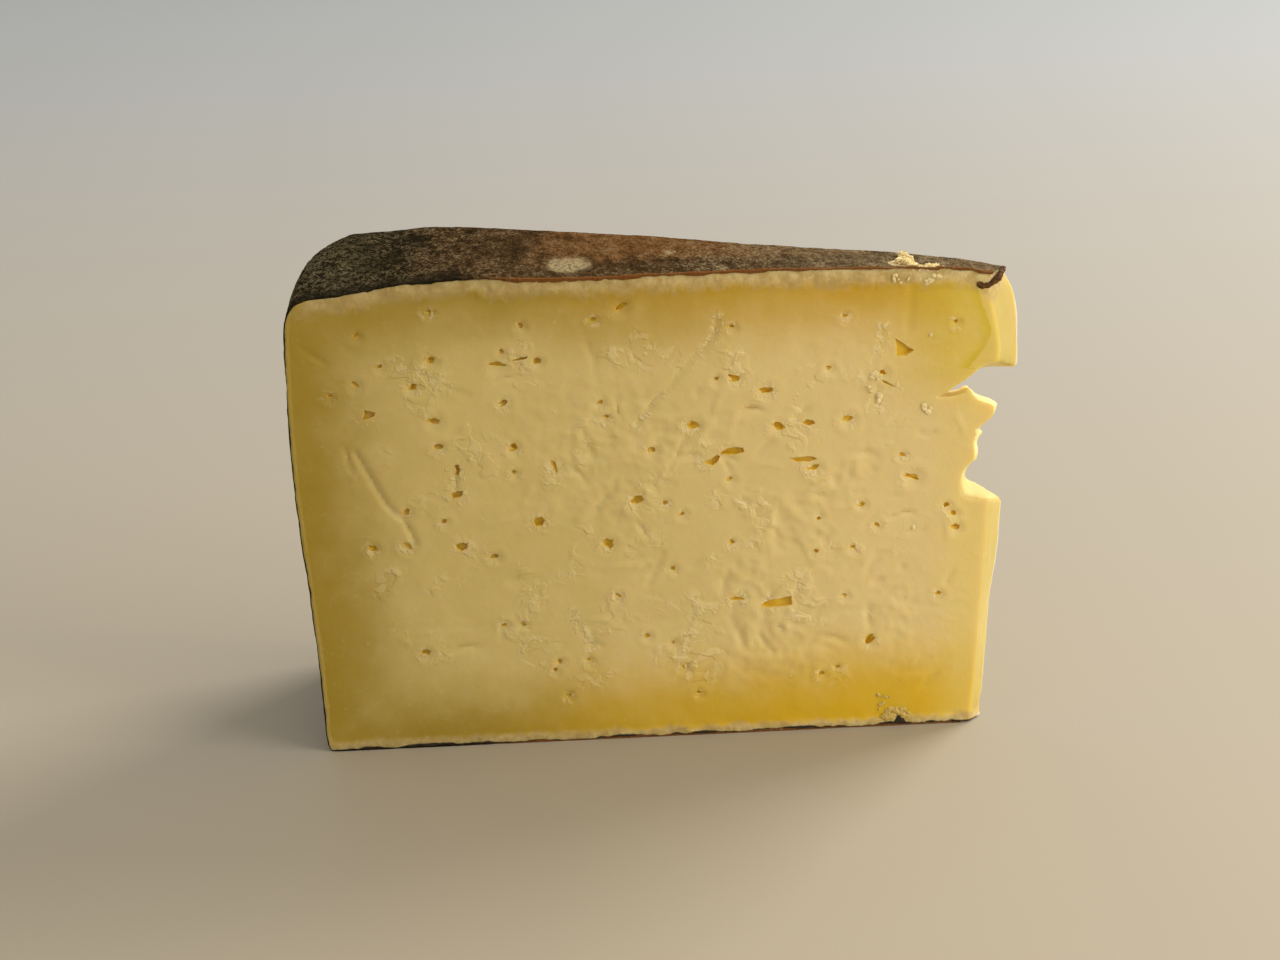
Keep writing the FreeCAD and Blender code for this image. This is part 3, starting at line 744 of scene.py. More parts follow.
def shred_material():
    """Bare dark rind of the curl."""
    shader = Shader("bare rind shred")
    fine = shader.noise(shader.millimetres(), 0.8, 3.0, 0.6)
    return shader.surface(
        Base_Color=shader.mix(shader.step(0.3, 0.7, fine), SHRED_DARK, SHRED_BROWN), Roughness=0.75,
        Normal=shader.bump(fine, 0.3), Specular_IOR_Level=0.08)


def floor_material(look):
    """Plain pale paper, cooler far away."""
    shader = Shader("plain floor")
    y = shader.part(shader.node("ShaderNodeTexCoord", output="Object"), "Y")
    colour = shader.mix(shader.step(-0.25, 0.9, y), look.floor_near, look.floor_far)
    return shader.surface(Base_Color=colour, Roughness=0.7)


# ---------------------------------------------------------------------------------------------------
# Settings that a user would change
# ---------------------------------------------------------------------------------------------------


def colour_setting(name, description, default):
    """A colour with a picker."""
    return bpy.props.FloatVectorProperty(
        name=name, description=description, default=default, size=3, subtype="COLOR", min=0.0, max=1.0)


def length_setting(name, description, default):
    """A small length in metres."""
    return bpy.props.FloatProperty(
        name=name, description=description, default=default, unit="LENGTH", min=0.0002, max=0.003)


class CheesePaste(bpy.types.PropertyGroup):
    """Sizes and colours of the paste"""

    cell: length_setting("Cell", "Width of one mesh cell on the cuts", 0.00052)
    # Far cream, far gold and chalk are darker than the colours near the nose, partly as painted shade towards
    # the rim.
    cream: colour_setting("Cream", "Colour of the middle of the paste near the nose", (0.79, 0.605, 0.255))
    cream_far: colour_setting(
        "Far cream", "Colour of the middle of the paste near the rim", (0.615, 0.465, 0.160))
    gold: colour_setting("Gold", "Colour of the riper paste near the nose", (0.60, 0.345, 0.008))
    gold_far: colour_setting("Far gold", "Colour of the riper paste near the rim", (0.37, 0.245, 0.022))
    chalk: colour_setting("Chalk", "Colour of the dry band near the rim", (0.42, 0.295, 0.100))


class CheeseRind(bpy.types.PropertyGroup):
    """Sizes and colours of the rind"""

    thickness: length_setting("Thickness", "Greatest thickness of the rind", 0.00065)
    cell: length_setting("Cell", "Width of one mesh cell on the rind", 0.0007)
    black: colour_setting("Black", "Colour of the oldest mould", (0.018, 0.013, 0.005))
    brown: colour_setting("Brown", "Colour of the bare rind", (0.058, 0.030, 0.011))
    russet: colour_setting("Russet", "Colour of the warm patches", (0.150, 0.066, 0.020))
    grey: colour_setting("Grey", "Colour of the young mould", (0.150, 0.100, 0.050))
    felt: colour_setting("Felt", "Colour of the fine mould felt", (0.25, 0.185, 0.098))
    bloom: colour_setting("Bloom", "Colour of the dry mould spots", (0.36, 0.275, 0.140))


class CheeseStage(bpy.types.PropertyGroup):
    """Colours and light of the stage"""

    floor_near: colour_setting("Near floor", "Colour of the floor under the wedge", (0.39, 0.325, 0.225))
    floor_far: colour_setting("Far floor", "Colour of the floor far behind", (0.335, 0.342, 0.338))
    key: bpy.props.FloatProperty(
        name="Key", description="Power of the large lamp", default=24.0, min=0.0, unit="POWER")
    fill: bpy.props.FloatProperty(name="Fill", description="Strength of the sky", default=0.68, min=0.0)


# ---------------------------------------------------------------------------------------------------
# Paste
# ---------------------------------------------------------------------------------------------------

# The paste stands back from the outlines by this much, so that the rind covers it.
TOP_SKIN, SIDE_SKIN, BASE_SKIN = 0.34, 0.16, 0.22
# The cuts stand back from the planes by this much, so that the rind's edge stands proud.
CUT_SKIN = 0.14
# Length and height of the cuts, for the counts of cells, and the count of cells from cut to cut.
CUT_LENGTH, CUT_HEIGHT, CELLS_ACROSS = 112, 80, 16
# A share this close to 0 or 1 belongs to an edge of a grid.
EDGE = 1e-6
# Strokes on each cut, and the middle and spread of their places along and up.
SCUFFS, SCUFF_ALONG, SCUFF_UP = 90, (-42, 24), (38, 17)
# Grooves fade out at so many half widths, and lips of crumbs with painted highlight round the front cut end
# at this depth.
GROOVE_FADE, LIP_DEPTH = 1.6, 2.0
# Depth of the chalky band under the top, over the foot and behind the side.
CHALK_TOP, CHALK_FOOT, CHALK_SIDE = 2.8, 1.6, 0.75
# Numbers of the materials that the walls of the break and of the eyes have.
TORN, EYE = 1, 2
# Cuts of the break's walls from front to back, their longest edge, and the x up to which they are cut
# finer and ruffled.
BREAK_CUTS, BREAK_CELL, BREAK_FINE_TO, BREAK_RUFFLED_TO = 23, 1.0, 11, 9
# Smoothing of torn edges and of the corner at the nose, which starts at this x and z and ends at this
# y; and of the ledge under the break, between two heights.
SOFT_ROUNDS, CORNER_X, CORNER_Z, CORNER_Y = 4, -2.8, 0.8, 2.8
LEDGE_ROUNDS, LEDGE_LOW, LEDGE_HIGH = 7, 38, 45.5
# Eyes of the back cut and their widths; there are none nearer than so far out, between these heights,
# where the break runs through.
BACK_EYES, BACK_WIDTHS = 90, (0.7, 0.8, 0.9, 1.1, 1.4, 1.8, 2.4, 3.6)
BREAK_OUT, BREAK_UP = 16, (38, 70)
# Seeds of the relief of the front cut, the back cut and the nose, and of the back cut's eyes.
FRONT_SEED, BACK_SEED, NOSE_SEED, BACK_EYE_SEED = 3, 31, 41.0, 11


def section_place(u, v, w):
    """Along and up of the wedge's skin, for shares of its length, height and width."""
    start, end = 0 * u, 0 * u + 1
    top, top_start, top_end = (across_wedge(TOP_FRONT, TOP_BACK, share, w) for share in (u, start, end))
    base, base_start, base_end = (at_share(BASE, share) for share in (u, start, end))
    side = across_wedge(SIDE, SIDE_BACK, v, w)
    nose = across_wedge(NOSE_FRONT, NOSE_BACK, v, w)
    corners = blend(blend(base_start, base_end, u), blend(top_start, top_end, u), v)
    spot = blend(side, nose, u) + blend(base, top, v) - corners
    spot[:, 1] += hump(spot[:, 0], spot[:, 1], w)
    return spot


def away_from(line, x, z):
    """How far each place of the front cut lies from a drawn line."""
    nearest = np.full_like(x, np.inf)
    for (ax, az), (bx, bz) in zip(line, line[1:]):
        run = np.clip(((x - ax) * (bx - ax) + (z - az) * (bz - az)) / ((bx - ax) ** 2 + (bz - az) ** 2), 0, 1)
        nearest = np.minimum(nearest, np.hypot(x - ax - run * (bx - ax), z - az - run * (bz - az)))
    return nearest


def groove_depth(x, z):
    """How deep the grooves lie at each place of the front cut."""
    depth = np.zeros_like(x)
    for deep, half, line in GROOVES + SEAMS:
        fade = 1 - smooth_step(0, half * GROOVE_FADE, away_from(line, x, z))
        depth = np.maximum(depth, deep * fade)
    return depth


def scuffs(x, z, seed):
    """Short shallow strokes and crumbs raised by the wire, mostly in the middle of a cut."""
    draw = random.Random(seed)
    height = np.zeros_like(x)
    for _ in range(SCUFFS):
        cx, cz = draw.gauss(*SCUFF_ALONG), draw.gauss(*SCUFF_UP)
        turn = draw.gauss(0.6, 0.7)
        long, half = draw.uniform(0.6, 2.6), draw.uniform(0.35, 0.8)
        lift = draw.choice((-1, -1, 1)) * draw.uniform(0.12, 0.42)
        run = (x - cx) * math.cos(turn) + (z - cz) * math.sin(turn)
        off = (z - cz) * math.cos(turn) - (x - cx) * math.sin(turn) + 0.12 * run * np.sin(run)
        off = np.where(off > 0, off * 2.0, off)
        height += lift * np.exp(-(run / long) ** 4 - (off / half) ** 2)
    return height


def cut_relief(x, z, seed):
    """Relief of a wire-cut face, in millimetres into the cheese."""
    spots = np.stack([x, np.full_like(x, seed), z], axis=-1)
    wave = fractal_at(spots, 16.0, 2, seed)
    lumps = fractal_at(spots, 3.0, 3, seed + 4)
    grain = fractal_at(spots, 1.2, 2, seed + 9)
    where = fractal_at(spots, 20.0, 2, seed + 2)
    between = smooth_step(-88, -55, x) * (1 - smooth_step(-12, -2, x))
    middle = between * smooth_step(6, 16, z) * (1 - smooth_step(60, 74, z))
    rough = smooth_step(0.0, 0.35, where) * middle + 0.14
    under = top_height(x, 0 * x) - z
    band = 1 - smooth_step(0.9, 1.5, np.minimum(under / 2.4, z / 1.5) + 0.35 * lumps)
    relief = 0.16 + 0.12 * wave + 0.24 * rough * lumps + 0.14 * rough * grain - scuffs(x, z, seed)
    return relief * (1 - 0.55 * band) + band * (0.16 * lumps + 0.10 * grain)


def dishes(x, z):
    """Shallow saucers round the openings, with a slightly raised lip."""
    depth = np.zeros_like(x)
    for cx, cz, width, height, _ in EYES:
        reach = 0.5 * max(width, height) + 0.55
        far = np.hypot(x - cx - 0.2, z - cz + 0.25) / reach
        depth += 0.22 * np.exp(-far ** 2) - 0.10 * np.exp(-((far - 1.5) / 0.45) ** 2)
    return depth


def paste_body(cell):
    """The wedge of paste: a gridded block bent to its outlines, with relief on both cuts."""
    bm = bmesh.new()
    grid_cube(bm, (round(CUT_LENGTH / cell), CELLS_ACROSS, round(CUT_HEIGHT / cell)))
    mesh = new_mesh("cheese_paste", bm)
    u, w, v = np.clip(vertex_vectors(mesh), 0, 1).T
    spot = section_place(u, v, w)
    along = spot[:, 0] + SIDE_SKIN * (1 - u)
    z = spot[:, 1] - TOP_SKIN * v + BASE_SKIN * (1 - v)
    x, y = place(along, w, z)
    front, back, nose = w < EDGE, w > 1 - EDGE, u > 1 - EDGE
    push = np.zeros_like(x)
    in_front, behind = (x[front], z[front]), (x[back], z[back])
    relief = cut_relief(*in_front, FRONT_SEED) + groove_depth(*in_front) + dishes(*in_front)
    push[front] = CUT_SKIN + np.maximum(relief, 0)
    push[back] = CUT_SKIN + np.maximum(cut_relief(*behind, BACK_SEED), 0)
    dent = np.zeros_like(x)
    dent[nose] = 0.14 * fractal_at(np.stack([x, y, z], axis=-1)[nose], 5.0, 3, NOSE_SEED)
    y = y + np.where(front, push, 0) - np.where(back, push * math.cos(BACK_SLOPE), 0)
    x = x - np.where(back, push * math.sin(BACK_SLOPE), 0) - np.abs(dent)
    write_places(mesh, np.stack([x, y, z], axis=-1))
    return put_in_scene("cheese_paste", mesh)


def new_cutter(name, bm, materials):
    """Make a cutter from a bmesh drawn in the wedge's own millimetres."""
    mesh = new_mesh(name, bm, materials)
    write_places(mesh, vertex_vectors(mesh))
    return put_in_scene(name, mesh)


def run_back(edge):
    """How far an edge runs from front to back."""
    return abs(edge.verts[0].co.y - edge.verts[1].co.y)


def break_cutter(materials):
    """The missing piece of the nose, with torn walls."""
    bm = bmesh.new()
    leans = {}
    ring = []
    for (x, z), (back_x, back_z) in BREAK:
        ring.append(bm.verts.new((x, 0, z)))
        leans[(round(x, 3), round(z, 3))] = (back_x - x, back_z - z)
    made = bmesh.ops.extrude_face_region(bm, geom=[bm.faces.new(ring)], use_keep_orig=True)
    behind = set(new_verts(made["geom"]))
    for vert in bm.verts:
        lean = leans[(round(vert.co.x, 3), round(vert.co.z, 3))]
        depth = BREAK_BEHIND if vert in behind else BREAK_BEFORE
        share = depth / BREAK_BETWEEN
        vert.co += Vector((lean[0] * share, depth, lean[1] * share))
    bmesh.ops.recalc_face_normals(bm, faces=bm.faces)
    deep = [e for e in bm.edges if run_back(e) > 1]
    bmesh.ops.subdivide_edges(bm, edges=deep, cuts=BREAK_CUTS, use_grid_fill=True)
    for _ in range(2):
        wide = [e for e in bm.edges if e.calc_length() > BREAK_CELL and run_back(e) < 0.01
                and max(v.co.x for v in e.verts) < BREAK_FINE_TO
                and BREAK_BEFORE < e.verts[0].co.y < BREAK_BEHIND]
        bmesh.ops.subdivide_edges(bm, edges=wide, cuts=1, use_grid_fill=True)
    bmesh.ops.triangulate(bm, faces=bm.faces)
    for vert in bm.verts:
        if vert.co.x < BREAK_RUFFLED_TO:
            shift = noise.noise_vector(vert.co / 1.3) * 0.18 + noise.noise_vector(vert.co / 3.1) * 0.25
            vert.co += Vector((shift.x, 0, shift.z))
    for face in bm.faces:
        face.material_index = TORN
    return new_cutter("break", bm, materials)


def soften(piece):
    """Round the torn edges of the break and the corner between the front cut and the nose."""
    bm = bmesh.new()
    bm.from_mesh(piece.data)
    torn = {v for f in bm.faces if f.material_index == TORN for v in f.verts}
    near = set(torn)
    for vert in torn:
        near.update(e.other_vert(vert) for e in vert.link_edges)
    own = {v: (v.co - AXIS) / MM for v in bm.verts}
    for vert, spot in own.items():
        if spot.x > CORNER_X and spot.y < CORNER_Y and spot.z > CORNER_Z:
            near.add(vert)
    ledge = [v for v in near if LEDGE_LOW < own[v].z < LEDGE_HIGH
             or own[v].z < LEDGE_LOW and own[v].y < CORNER_Y]
    for rounds, verts in ((SOFT_ROUNDS, list(near)), (LEDGE_ROUNDS, ledge)):
        for _ in range(rounds):
            bmesh.ops.smooth_vert(
                bm, verts=verts, factor=0.5, use_axis_x=True, use_axis_y=True, use_axis_z=True)
    bm.to_mesh(piece.data)
    bm.free()


def eye_lump(bm, centre, size, turn, seed):
    """Add one angular lump to a cutter, with its centre and size in millimetres."""
    made = bmesh.ops.create_icosphere(bm, subdivisions=2, radius=0.5)
    for vert in made["verts"]:
        way = vert.co.copy()
        rough = 0.55 * noise.noise(way * 3.0 + Vector((seed, 0, 0)))
        way *= 1 + rough + 0.3 * noise.noise(way * 8 + Vector((0, seed, 0)))
        vert.co = centre + turn @ scaled(way, size)
    for face in once(face for vert in made["verts"] for face in vert.link_faces):
        face.material_index = EYE


def eye_pit(bm, x, z, depth, corners, seed):
    """Add one angular pit of the front cut to a cutter."""
    ring = [bm.verts.new((x + dx * 1.22, -0.6, z + dz * 1.30)) for dx, dz in corners]
    made = bmesh.ops.extrude_face_region(bm, geom=[bm.faces.new(ring)], use_keep_orig=True)
    floor = new_verts(made["geom"])
    for vert in floor:
        vert.co.y = CUT_SKIN + depth * (1 + 0.5 * noise.noise(vert.co * 0.9 + Vector((seed, 0, 0))))
        vert.co.x = x + 0.15 + (vert.co.x - x) * 0.70
        vert.co.z = z + 0.08 + (vert.co.z - z) * 0.62
    faces = once(f for v in ring + floor for f in v.link_faces)
    bmesh.ops.recalc_face_normals(bm, faces=faces)
    edges = once(e for f in faces for e in f.edges)
    made = bmesh.ops.subdivide_edges(bm, edges=edges, cuts=2, use_grid_fill=True, smooth=0.0)
    inner = once(new_verts(made["geom_inner"]))
    for vert in inner:
        vert.co += noise.noise_vector(vert.co * 1.6 + Vector((0, seed, 0))) * 0.16
    for face in faces + once(f for v in inner for f in v.link_faces):
        face.material_index = EYE


def add_back_eyes(bm):
    """Scatter eyes over the back cut, clear of each other and of the break."""
    draw = random.Random(BACK_EYE_SEED)
    outward = Vector((math.sin(BACK_SLOPE), math.cos(BACK_SLOPE), 0))
    taken = []
    while len(taken) < BACK_EYES:
        out, z = draw.uniform(5, 108), draw.uniform(4, 79)
        width = draw.choice(BACK_WIDTHS)
        height = min(width, 0.5 + 0.35 * width) * draw.uniform(0.7, 1.1)
        tilt = draw.uniform(-50, 50)
        crowded = any(math.hypot(out - a, z - b) < (width + c) * 0.7 + 1 for a, b, c in taken)
        if crowded or (out < BREAK_OUT and BREAK_UP[0] < z < BREAK_UP[1]):
            continue
        taken.append((out, z, width))
        x, y = place(-out, 1.0)
        turn = Matrix.Rotation(-BACK_SLOPE, 3, "Z") @ Matrix.Rotation(math.radians(tilt), 3, "Y")
        centre = Vector((x, y, z)) - outward * 0.30
        eye_lump(bm, centre, (width * 1.2, 0.7 + 0.5 * width, height * 1.25), turn, 50 + len(taken) * 2.3)


def eye_cutter(materials):
    """Every opening of both cuts, as one cutter."""
    bm = bmesh.new()
    for number, (x, z, width, height, tilt) in enumerate(EYES):
        turn = Matrix.Rotation(math.radians(-tilt), 3, "Y")
        deep = 0.42 + 0.76 * min(width, height * 1.6)
        eye_lump(bm, Vector((x, 0.30, z)), (width * 1.32, deep, height * 1.4), turn, number * 3.1)
    for number, (x, z, depth, corners) in enumerate(SHAPED_EYES):
        eye_pit(bm, x, z, depth, corners, number * 1.9)
    add_back_eyes(bm)
    bmesh.ops.triangulate(bm, faces=bm.faces)
    return new_cutter("eyes", bm, materials)


def lips_at(x, z):
    """How crumbly the front cut is, and where painted highlight lies, low and left of openings: 1 at the
    openings and cracks, 0 away from them.
    """
    openings = [(cx, cz, 0.5 * max(width, height)) for cx, cz, width, height, _ in EYES]
    openings += [(cx, cz, 1.2) for cx, cz, _, _ in SHAPED_EYES]
    lips = np.zeros_like(x)
    for cx, cz, reach in openings:
        far = np.hypot((x - cx + 0.25) / 1.3, z - cz + 0.35) - reach
        lips = np.maximum(lips, 1 - smooth_step(-0.1, 1.3, far))
    for _, _, line in SEAMS:
        lips = np.maximum(lips, 1 - smooth_step(0.4, 1.6, away_from(line, x, z)))
    return lips


def mark_depths(mesh):
    """Write what the materials need at each vertex, in millimetres but for the shares chalk and halo."""
    x, y, z = read_places(mesh).T
    from_top = top_height(x, y) - z
    from_side = np.where(x > -50, 60.0, side_radius(z) - np.hypot(x, y))
    from_back = (x - NOSE_X) * math.sin(BACK_SLOPE) + (y - NOSE_Y) * math.cos(BACK_SLOPE)
    heights, alongs = np.array(CREASE).T
    marks = {
        "under_rind": np.minimum(np.minimum(from_top, z), from_side),
        "chalk": np.minimum(np.minimum(from_top / CHALK_TOP, z / CHALK_FOOT), from_side / CHALK_SIDE),
        "pit": np.minimum(y, -from_back) - CUT_SKIN,
        "crease": np.clip(x - np.interp(z, heights, alongs), -6, 6),
        "halo": (y < LIP_DEPTH) * lips_at(x, z),
    }
    for name, numbers in marks.items():
        layer = mesh.attributes.new(name, "FLOAT", "POINT")
        layer.data.foreach_set("value", numbers.astype(np.float32))


class CHEESE_OT_paste(bpy.types.Operator):
    """Model the wedge of paste with its broken nose and its eyes"""

    bl_idname = "cheese.paste"
    bl_label = "Paste"

    def execute(self, context):
        look = context.scene.cheese_paste
        piece = paste_body(look.cell / MM)
        materials = (paste_material(look, False), paste_material(look, True), eye_material(look))
        for material in materials:
            piece.data.materials.append(material)
        carve(piece, break_cutter(materials))
        soften(piece)
        carve(piece, eye_cutter(materials))
        mark_depths(piece.data)
        shade(piece.data, 40)
        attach(piece, "root")
        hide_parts(NODE)
        return {"FINISHED"}


# ---------------------------------------------------------------------------------------------------
# Rind
# ---------------------------------------------------------------------------------------------------

# How far the sheet of rind runs over the top, down the side and under the base, and its width.
RUNS, RIND_WIDTH = (114.0, 81.0, 112.0), 41
# The rind ends at this share of the base.
BASE_COVER = 0.988
# Runs over which the side turns into the flat base, and the shoulder into the side.
FLAT_FROM, SHOULDER_FROM = (192, 198), (110, 116)
# Chipped places of the top where crumbs lie, as x, y, reach and depth; they end at this run.
CHIPS, CHIPS_END = ((-14.8, 4.2, 2.4, 0.65), (-11.3, 1.9, 1.5, 0.45)), 100
# The wrinkled sheet keeps clear of the front cut by this much; its shell stays inside these limits.
SHEET_FRONT, SHELL_FRONT, SHELL_LOW, SHELL_TOP = 0.08, 0.02, 0.01, 83.2


def rind_sheet(cell):
    """The skin of the wheel from the nose over the top, down the rim and back under the base."""
    total = sum(RUNS)
    bm = bmesh.new()
    bmesh.ops.create_grid(bm, x_segments=round(total / cell), y_segments=round(RIND_WIDTH / cell), size=0.5)
    mesh = new_mesh("cheese_rind", bm)
    share, across, _ = np.clip(vertex_vectors(mesh) + 0.5, 0, 1).T
    run = share * total
    top_end, side_end = RUNS[0], RUNS[0] + RUNS[1]
    top = across_wedge(TOP_FRONT, TOP_BACK, np.clip(1 - run / RUNS[0], 0, 1), across)
    side = across_wedge(SIDE, SIDE_BACK, np.clip(1 - (run - top_end) / RUNS[1], 0, 1), across)
    base = at_share(BASE, np.clip((run - side_end) / RUNS[2], 0, BASE_COVER))
    spot = np.where((run < top_end)[:, None], top, np.where((run < side_end)[:, None], side, base))
    spot[:, 1] += hump(spot[:, 0], spot[:, 1], across)
    x, y = place(spot[:, 0], across, spot[:, 1])
    write_places(mesh, np.stack([x, y, spot[:, 1]], axis=-1))
    return mesh, run, across


def wrinkle(mesh, run, across, flat):
    """Sink the sheet by wrinkles, pits and chips, with a ragged edge along the front cut."""
    places = read_places(mesh)
    normals = vertex_vectors(mesh, "normal")
    if normals[np.argmax(places[:, 2])][2] < 0:
        mesh.flip_normals()
        normals = -normals
    sink = 0.05 + 0.14 * fractal_at(places, 6.0, 3, 5.0) + 0.10 * fractal_at(places, 1.7, 3, 8.0)
    sink = np.maximum(sink, 0) * (1 - flat) + 0.02 * flat
    for x, y, reach, deep in CHIPS:
        far = np.hypot(places[:, 0] - x, places[:, 1] - y) / reach
        sink += deep * (run < CHIPS_END) * np.exp(-far ** 4)
    places = places - normals * sink[:, None]
    ragged = 0.05 + 0.22 * np.maximum(fractal_at(places, 3.0, 3, 12.0), 0)
    places[:, 1] = np.maximum(places[:, 1] + np.where(across < EDGE, ragged, 0), SHEET_FRONT)
    write_places(mesh, places)
    return places


def wall_shares(places, run, flat):
    """Share of the full thickness that the rind has at each vertex of its sheet."""
    shares = 0.5 + 0.5 * fractal_at(places, 2.2, 3, 21.0) + 0.4 * fractal_at(places, 9.0, 2, 23.0)
    shares = np.clip(shares, 0.1, 1.0) + flat * 0.8 * np.maximum(fractal_at(places, 16.0, 3, 27.0), 0)
    thin = 1 - 0.55 * smooth_step(*SHOULDER_FROM, run) * (1 - flat)
    return np.minimum(shares, 1.0) * (1 - 0.30 * flat) * thin


class CHEESE_OT_rind(bpy.types.Operator):
    """Model the mould rind as a thin wrinkled shell over the top, the rim and the base"""

    bl_idname = "cheese.rind"
    bl_label = "Rind"

    def execute(self, context):
        look = context.scene.cheese_rind
        mesh, run, across = rind_sheet(look.cell / MM)
        flat = smooth_step(*FLAT_FROM, run)
        places = wrinkle(mesh, run, across, flat)
        piece = put_in_scene("cheese_rind", mesh)
        group = piece.vertex_groups.new(name="thick")
        for index, share in enumerate(wall_shares(places, run, flat)):
            group.add((index,), float(share), "REPLACE")
        wall = piece.modifiers.new("wall", "SOLIDIFY")
        wall.thickness = look.thickness
        wall.offset = -1.0
        wall.vertex_group = group.name
        mesh.materials.append(rind_material(look))
        bake(piece)
        places = read_places(piece.data)
        places[:, 1] = np.maximum(places[:, 1], SHELL_FRONT)
        places[:, 2] = np.clip(places[:, 2], SHELL_LOW, SHELL_TOP)
        write_places(piece.data, places)
        shade(piece.data, 60)
        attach(piece, "root")
        return {"FINISHED"}


# ---------------------------------------------------------------------------------------------------
# Curl and crumbs
# ---------------------------------------------------------------------------------------------------

# A shred of rind that folds over the tip: x, y, z and half thickness.
CURL = (
    (2.3, 4.9, 80.8, 0.25), (1.7, 3.4, 80.8, 0.40), (1.0, 1.9, 80.7, 0.50), (0.4, 0.75, 80.3, 0.55),
    (-0.3, 0.58, 79.7, 0.52), (-1.2, 0.56, 79.1, 0.54), (-2.2, 0.58, 78.9, 0.62), (-2.9, 0.60, 79.2, 0.66),
    (-3.1, 0.62, 79.7, 0.50),
)
# Crumbs: where, how big, and how they are spread: x, y, z, spread x, spread y, spread z, count, size.
TOP_CRUMBS = (
    (-14.4, 4.6, 82.35, 0.65, 1.5, 0.16, 30, 1.5),
    (-14.3, 7.8, 82.55, 0.45, 0.7, 0.16, 12, 1.3),
    (-13.8, 2.3, 82.15, 0.7, 0.6, 0.10, 14, 1.1),
    (-11.2, 1.6, 82.10, 0.9, 0.5, 0.10, 22, 1.2),
    (-9.4, 1.1, 82.05, 0.5, 0.4, 0.05, 8, 0.8),
    (-16.4, 3.4, 82.55, 0.7, 0.8, 0.03, 6, 0.4),
    (-13.2, 0.3, 81.9, 1.6, 0.05, 0.25, 10, 0.7),
)
FACE_CRUMBS = (
    (-10.7, 0.20, 71.0, 0.04, 0.02, 0.04, 2, 1.5),
    (-11.0, 0.20, 58.4, 0.45, 0.02, 0.35, 5, 1.7),
    (-19.4, 0.20, 63.7, 0.25, 0.02, 0.4, 3, 1.7),
    (-18.9, 0.20, 60.2, 0.1, 0.02, 0.7, 3, 1.4),
    (-20.3, 0.20, 61.8, 0.5, 0.02, 0.3, 2, 0.8),
    (-12.4, 0.20, 37.6, 0.3, 0.02, 0.3, 2, 1.2),
    (-16.4, 0.20, 4.4, 0.5, 0.03, 1.2, 9, 0.9),
    (-15.4, 0.20, 2.2, 0.7, 0.03, 0.6, 14, 1.6),
    (-13.4, 0.20, 2.6, 0.8, 0.03, 0.5, 12, 1.6),
    (-11.9, 0.20, 1.6, 0.6, 0.03, 0.4, 8, 1.0),
    (-50.6, 0.20, 0.8, 0.3, 0.03, 0.1, 3, 1.1),
    (-16.4, 0.20, 80.6, 0.9, 0.03, 0.5, 8, 1.4),
    (-11.3, 0.20, 80.2, 0.7, 0.03, 0.5, 7, 1.4),
)
# Curl and crumbs keep clear of the front cut's plane and of the board by this much.
CLEAR = 0.04
# How deep the crumbs are from front to back, as a share; their seed; and how high they may reach.
TOP_SHAPE, FACE_SHAPE = (1.0, 5, 83.15), (0.4, 8, 82.0)


def new_piece(name, bm, material, angle):
    """Make a finished object from a bmesh, crisp at edges sharper than an angle, on the wedge's body."""
    piece = put_in_scene(name, new_mesh(name, bm, (material,)))
    shade(piece.data, angle)
    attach(piece, "root")


def add_crumb(bm, centre, size, flat, draw):
    """Add one angular crumb, pressed flat from front to back."""
    made = bmesh.ops.create_icosphere(bm, subdivisions=2, radius=0.5)
    seed = Vector((draw.uniform(0, 90), draw.uniform(0, 90), draw.uniform(0, 90)))
    angle = draw.uniform(0, 6.28)
    turn = Matrix.Rotation(angle, 3, Vector((draw.gauss(0, 1), draw.gauss(0, 1), 1)).normalized())
    shape = Vector((draw.uniform(0.7, 1.2), draw.uniform(0.6, 1.0), draw.uniform(0.5, 0.9))) * size
    rough = 0.3 + 0.7 * flat
    for vert in made["verts"]:
        lump = 0.7 * noise.noise(vert.co * 3 + seed) + 0.35 * noise.noise(vert.co * 8 + seed)
        way = turn @ scaled(vert.co * (1 + rough * lump), shape)
        vert.co = centre + scaled(way, (1, flat, 1))
    return made["verts"]


def crumb_cloud(name, clouds, material, flat, seed, ceiling):
    """Scatter crumbs in clouds and make them one piece."""
    draw = random.Random(seed)
    bm = bmesh.new()
    for *numbers, count, size in clouds:
        middle, spread = numbers[:3], numbers[3:]
        for _ in range(count):
            big = size * draw.uniform(0.4, 1.0)
            centre = Vector(spot + draw.gauss(0, by) for spot, by in zip(middle, spread))
            verts = add_crumb(bm, centre, big, flat, draw)
            near = min(v.co.y for v in verts)
            low, high = (pick(v.co.z for v in verts) for pick in (min, max))
            rise = max(CLEAR - low, 0)
            shift = Vector((0, max(CLEAR - near, 0), rise + min(ceiling - high - rise, 0)))
            for vert in verts:
                vert.co += shift
    for vert in bm.verts:
        vert.co = AXIS + vert.co * MM
    new_piece(name, bm, material, 35)


def shred_tube():
    """A closed tube along the curl's path, whose thickness changes from end to end."""
    curve = bpy.data.curves.new("path", "CURVE")
    curve.dimensions = "3D"
    curve.resolution_u = 10
    curve.bevel_depth = MM
    curve.bevel_resolution = 4
    curve.use_fill_caps = True
    spline = curve.splines.new("NURBS")
    spline.points.add(len(CURL) - 1)
    for point, (x, y, z, thick) in zip(spline.points, CURL):
        point.co = (*(AXIS + Vector((x, y, z)) * MM), 1.0)
        point.radius = thick
    spline.order_u = 3
    spline.use_endpoint_u = True
    path = put_in_scene("path", curve)
    bpy.context.view_layer.update()
    mesh = bpy.data.meshes.new_from_object(path)
    bpy.data.objects.remove(path)
    bm = bmesh.new()
    bm.from_mesh(mesh)
    bpy.data.meshes.remove(mesh)
    bmesh.ops.remove_doubles(bm, verts=bm.verts, dist=0.02 * MM)
    return bm


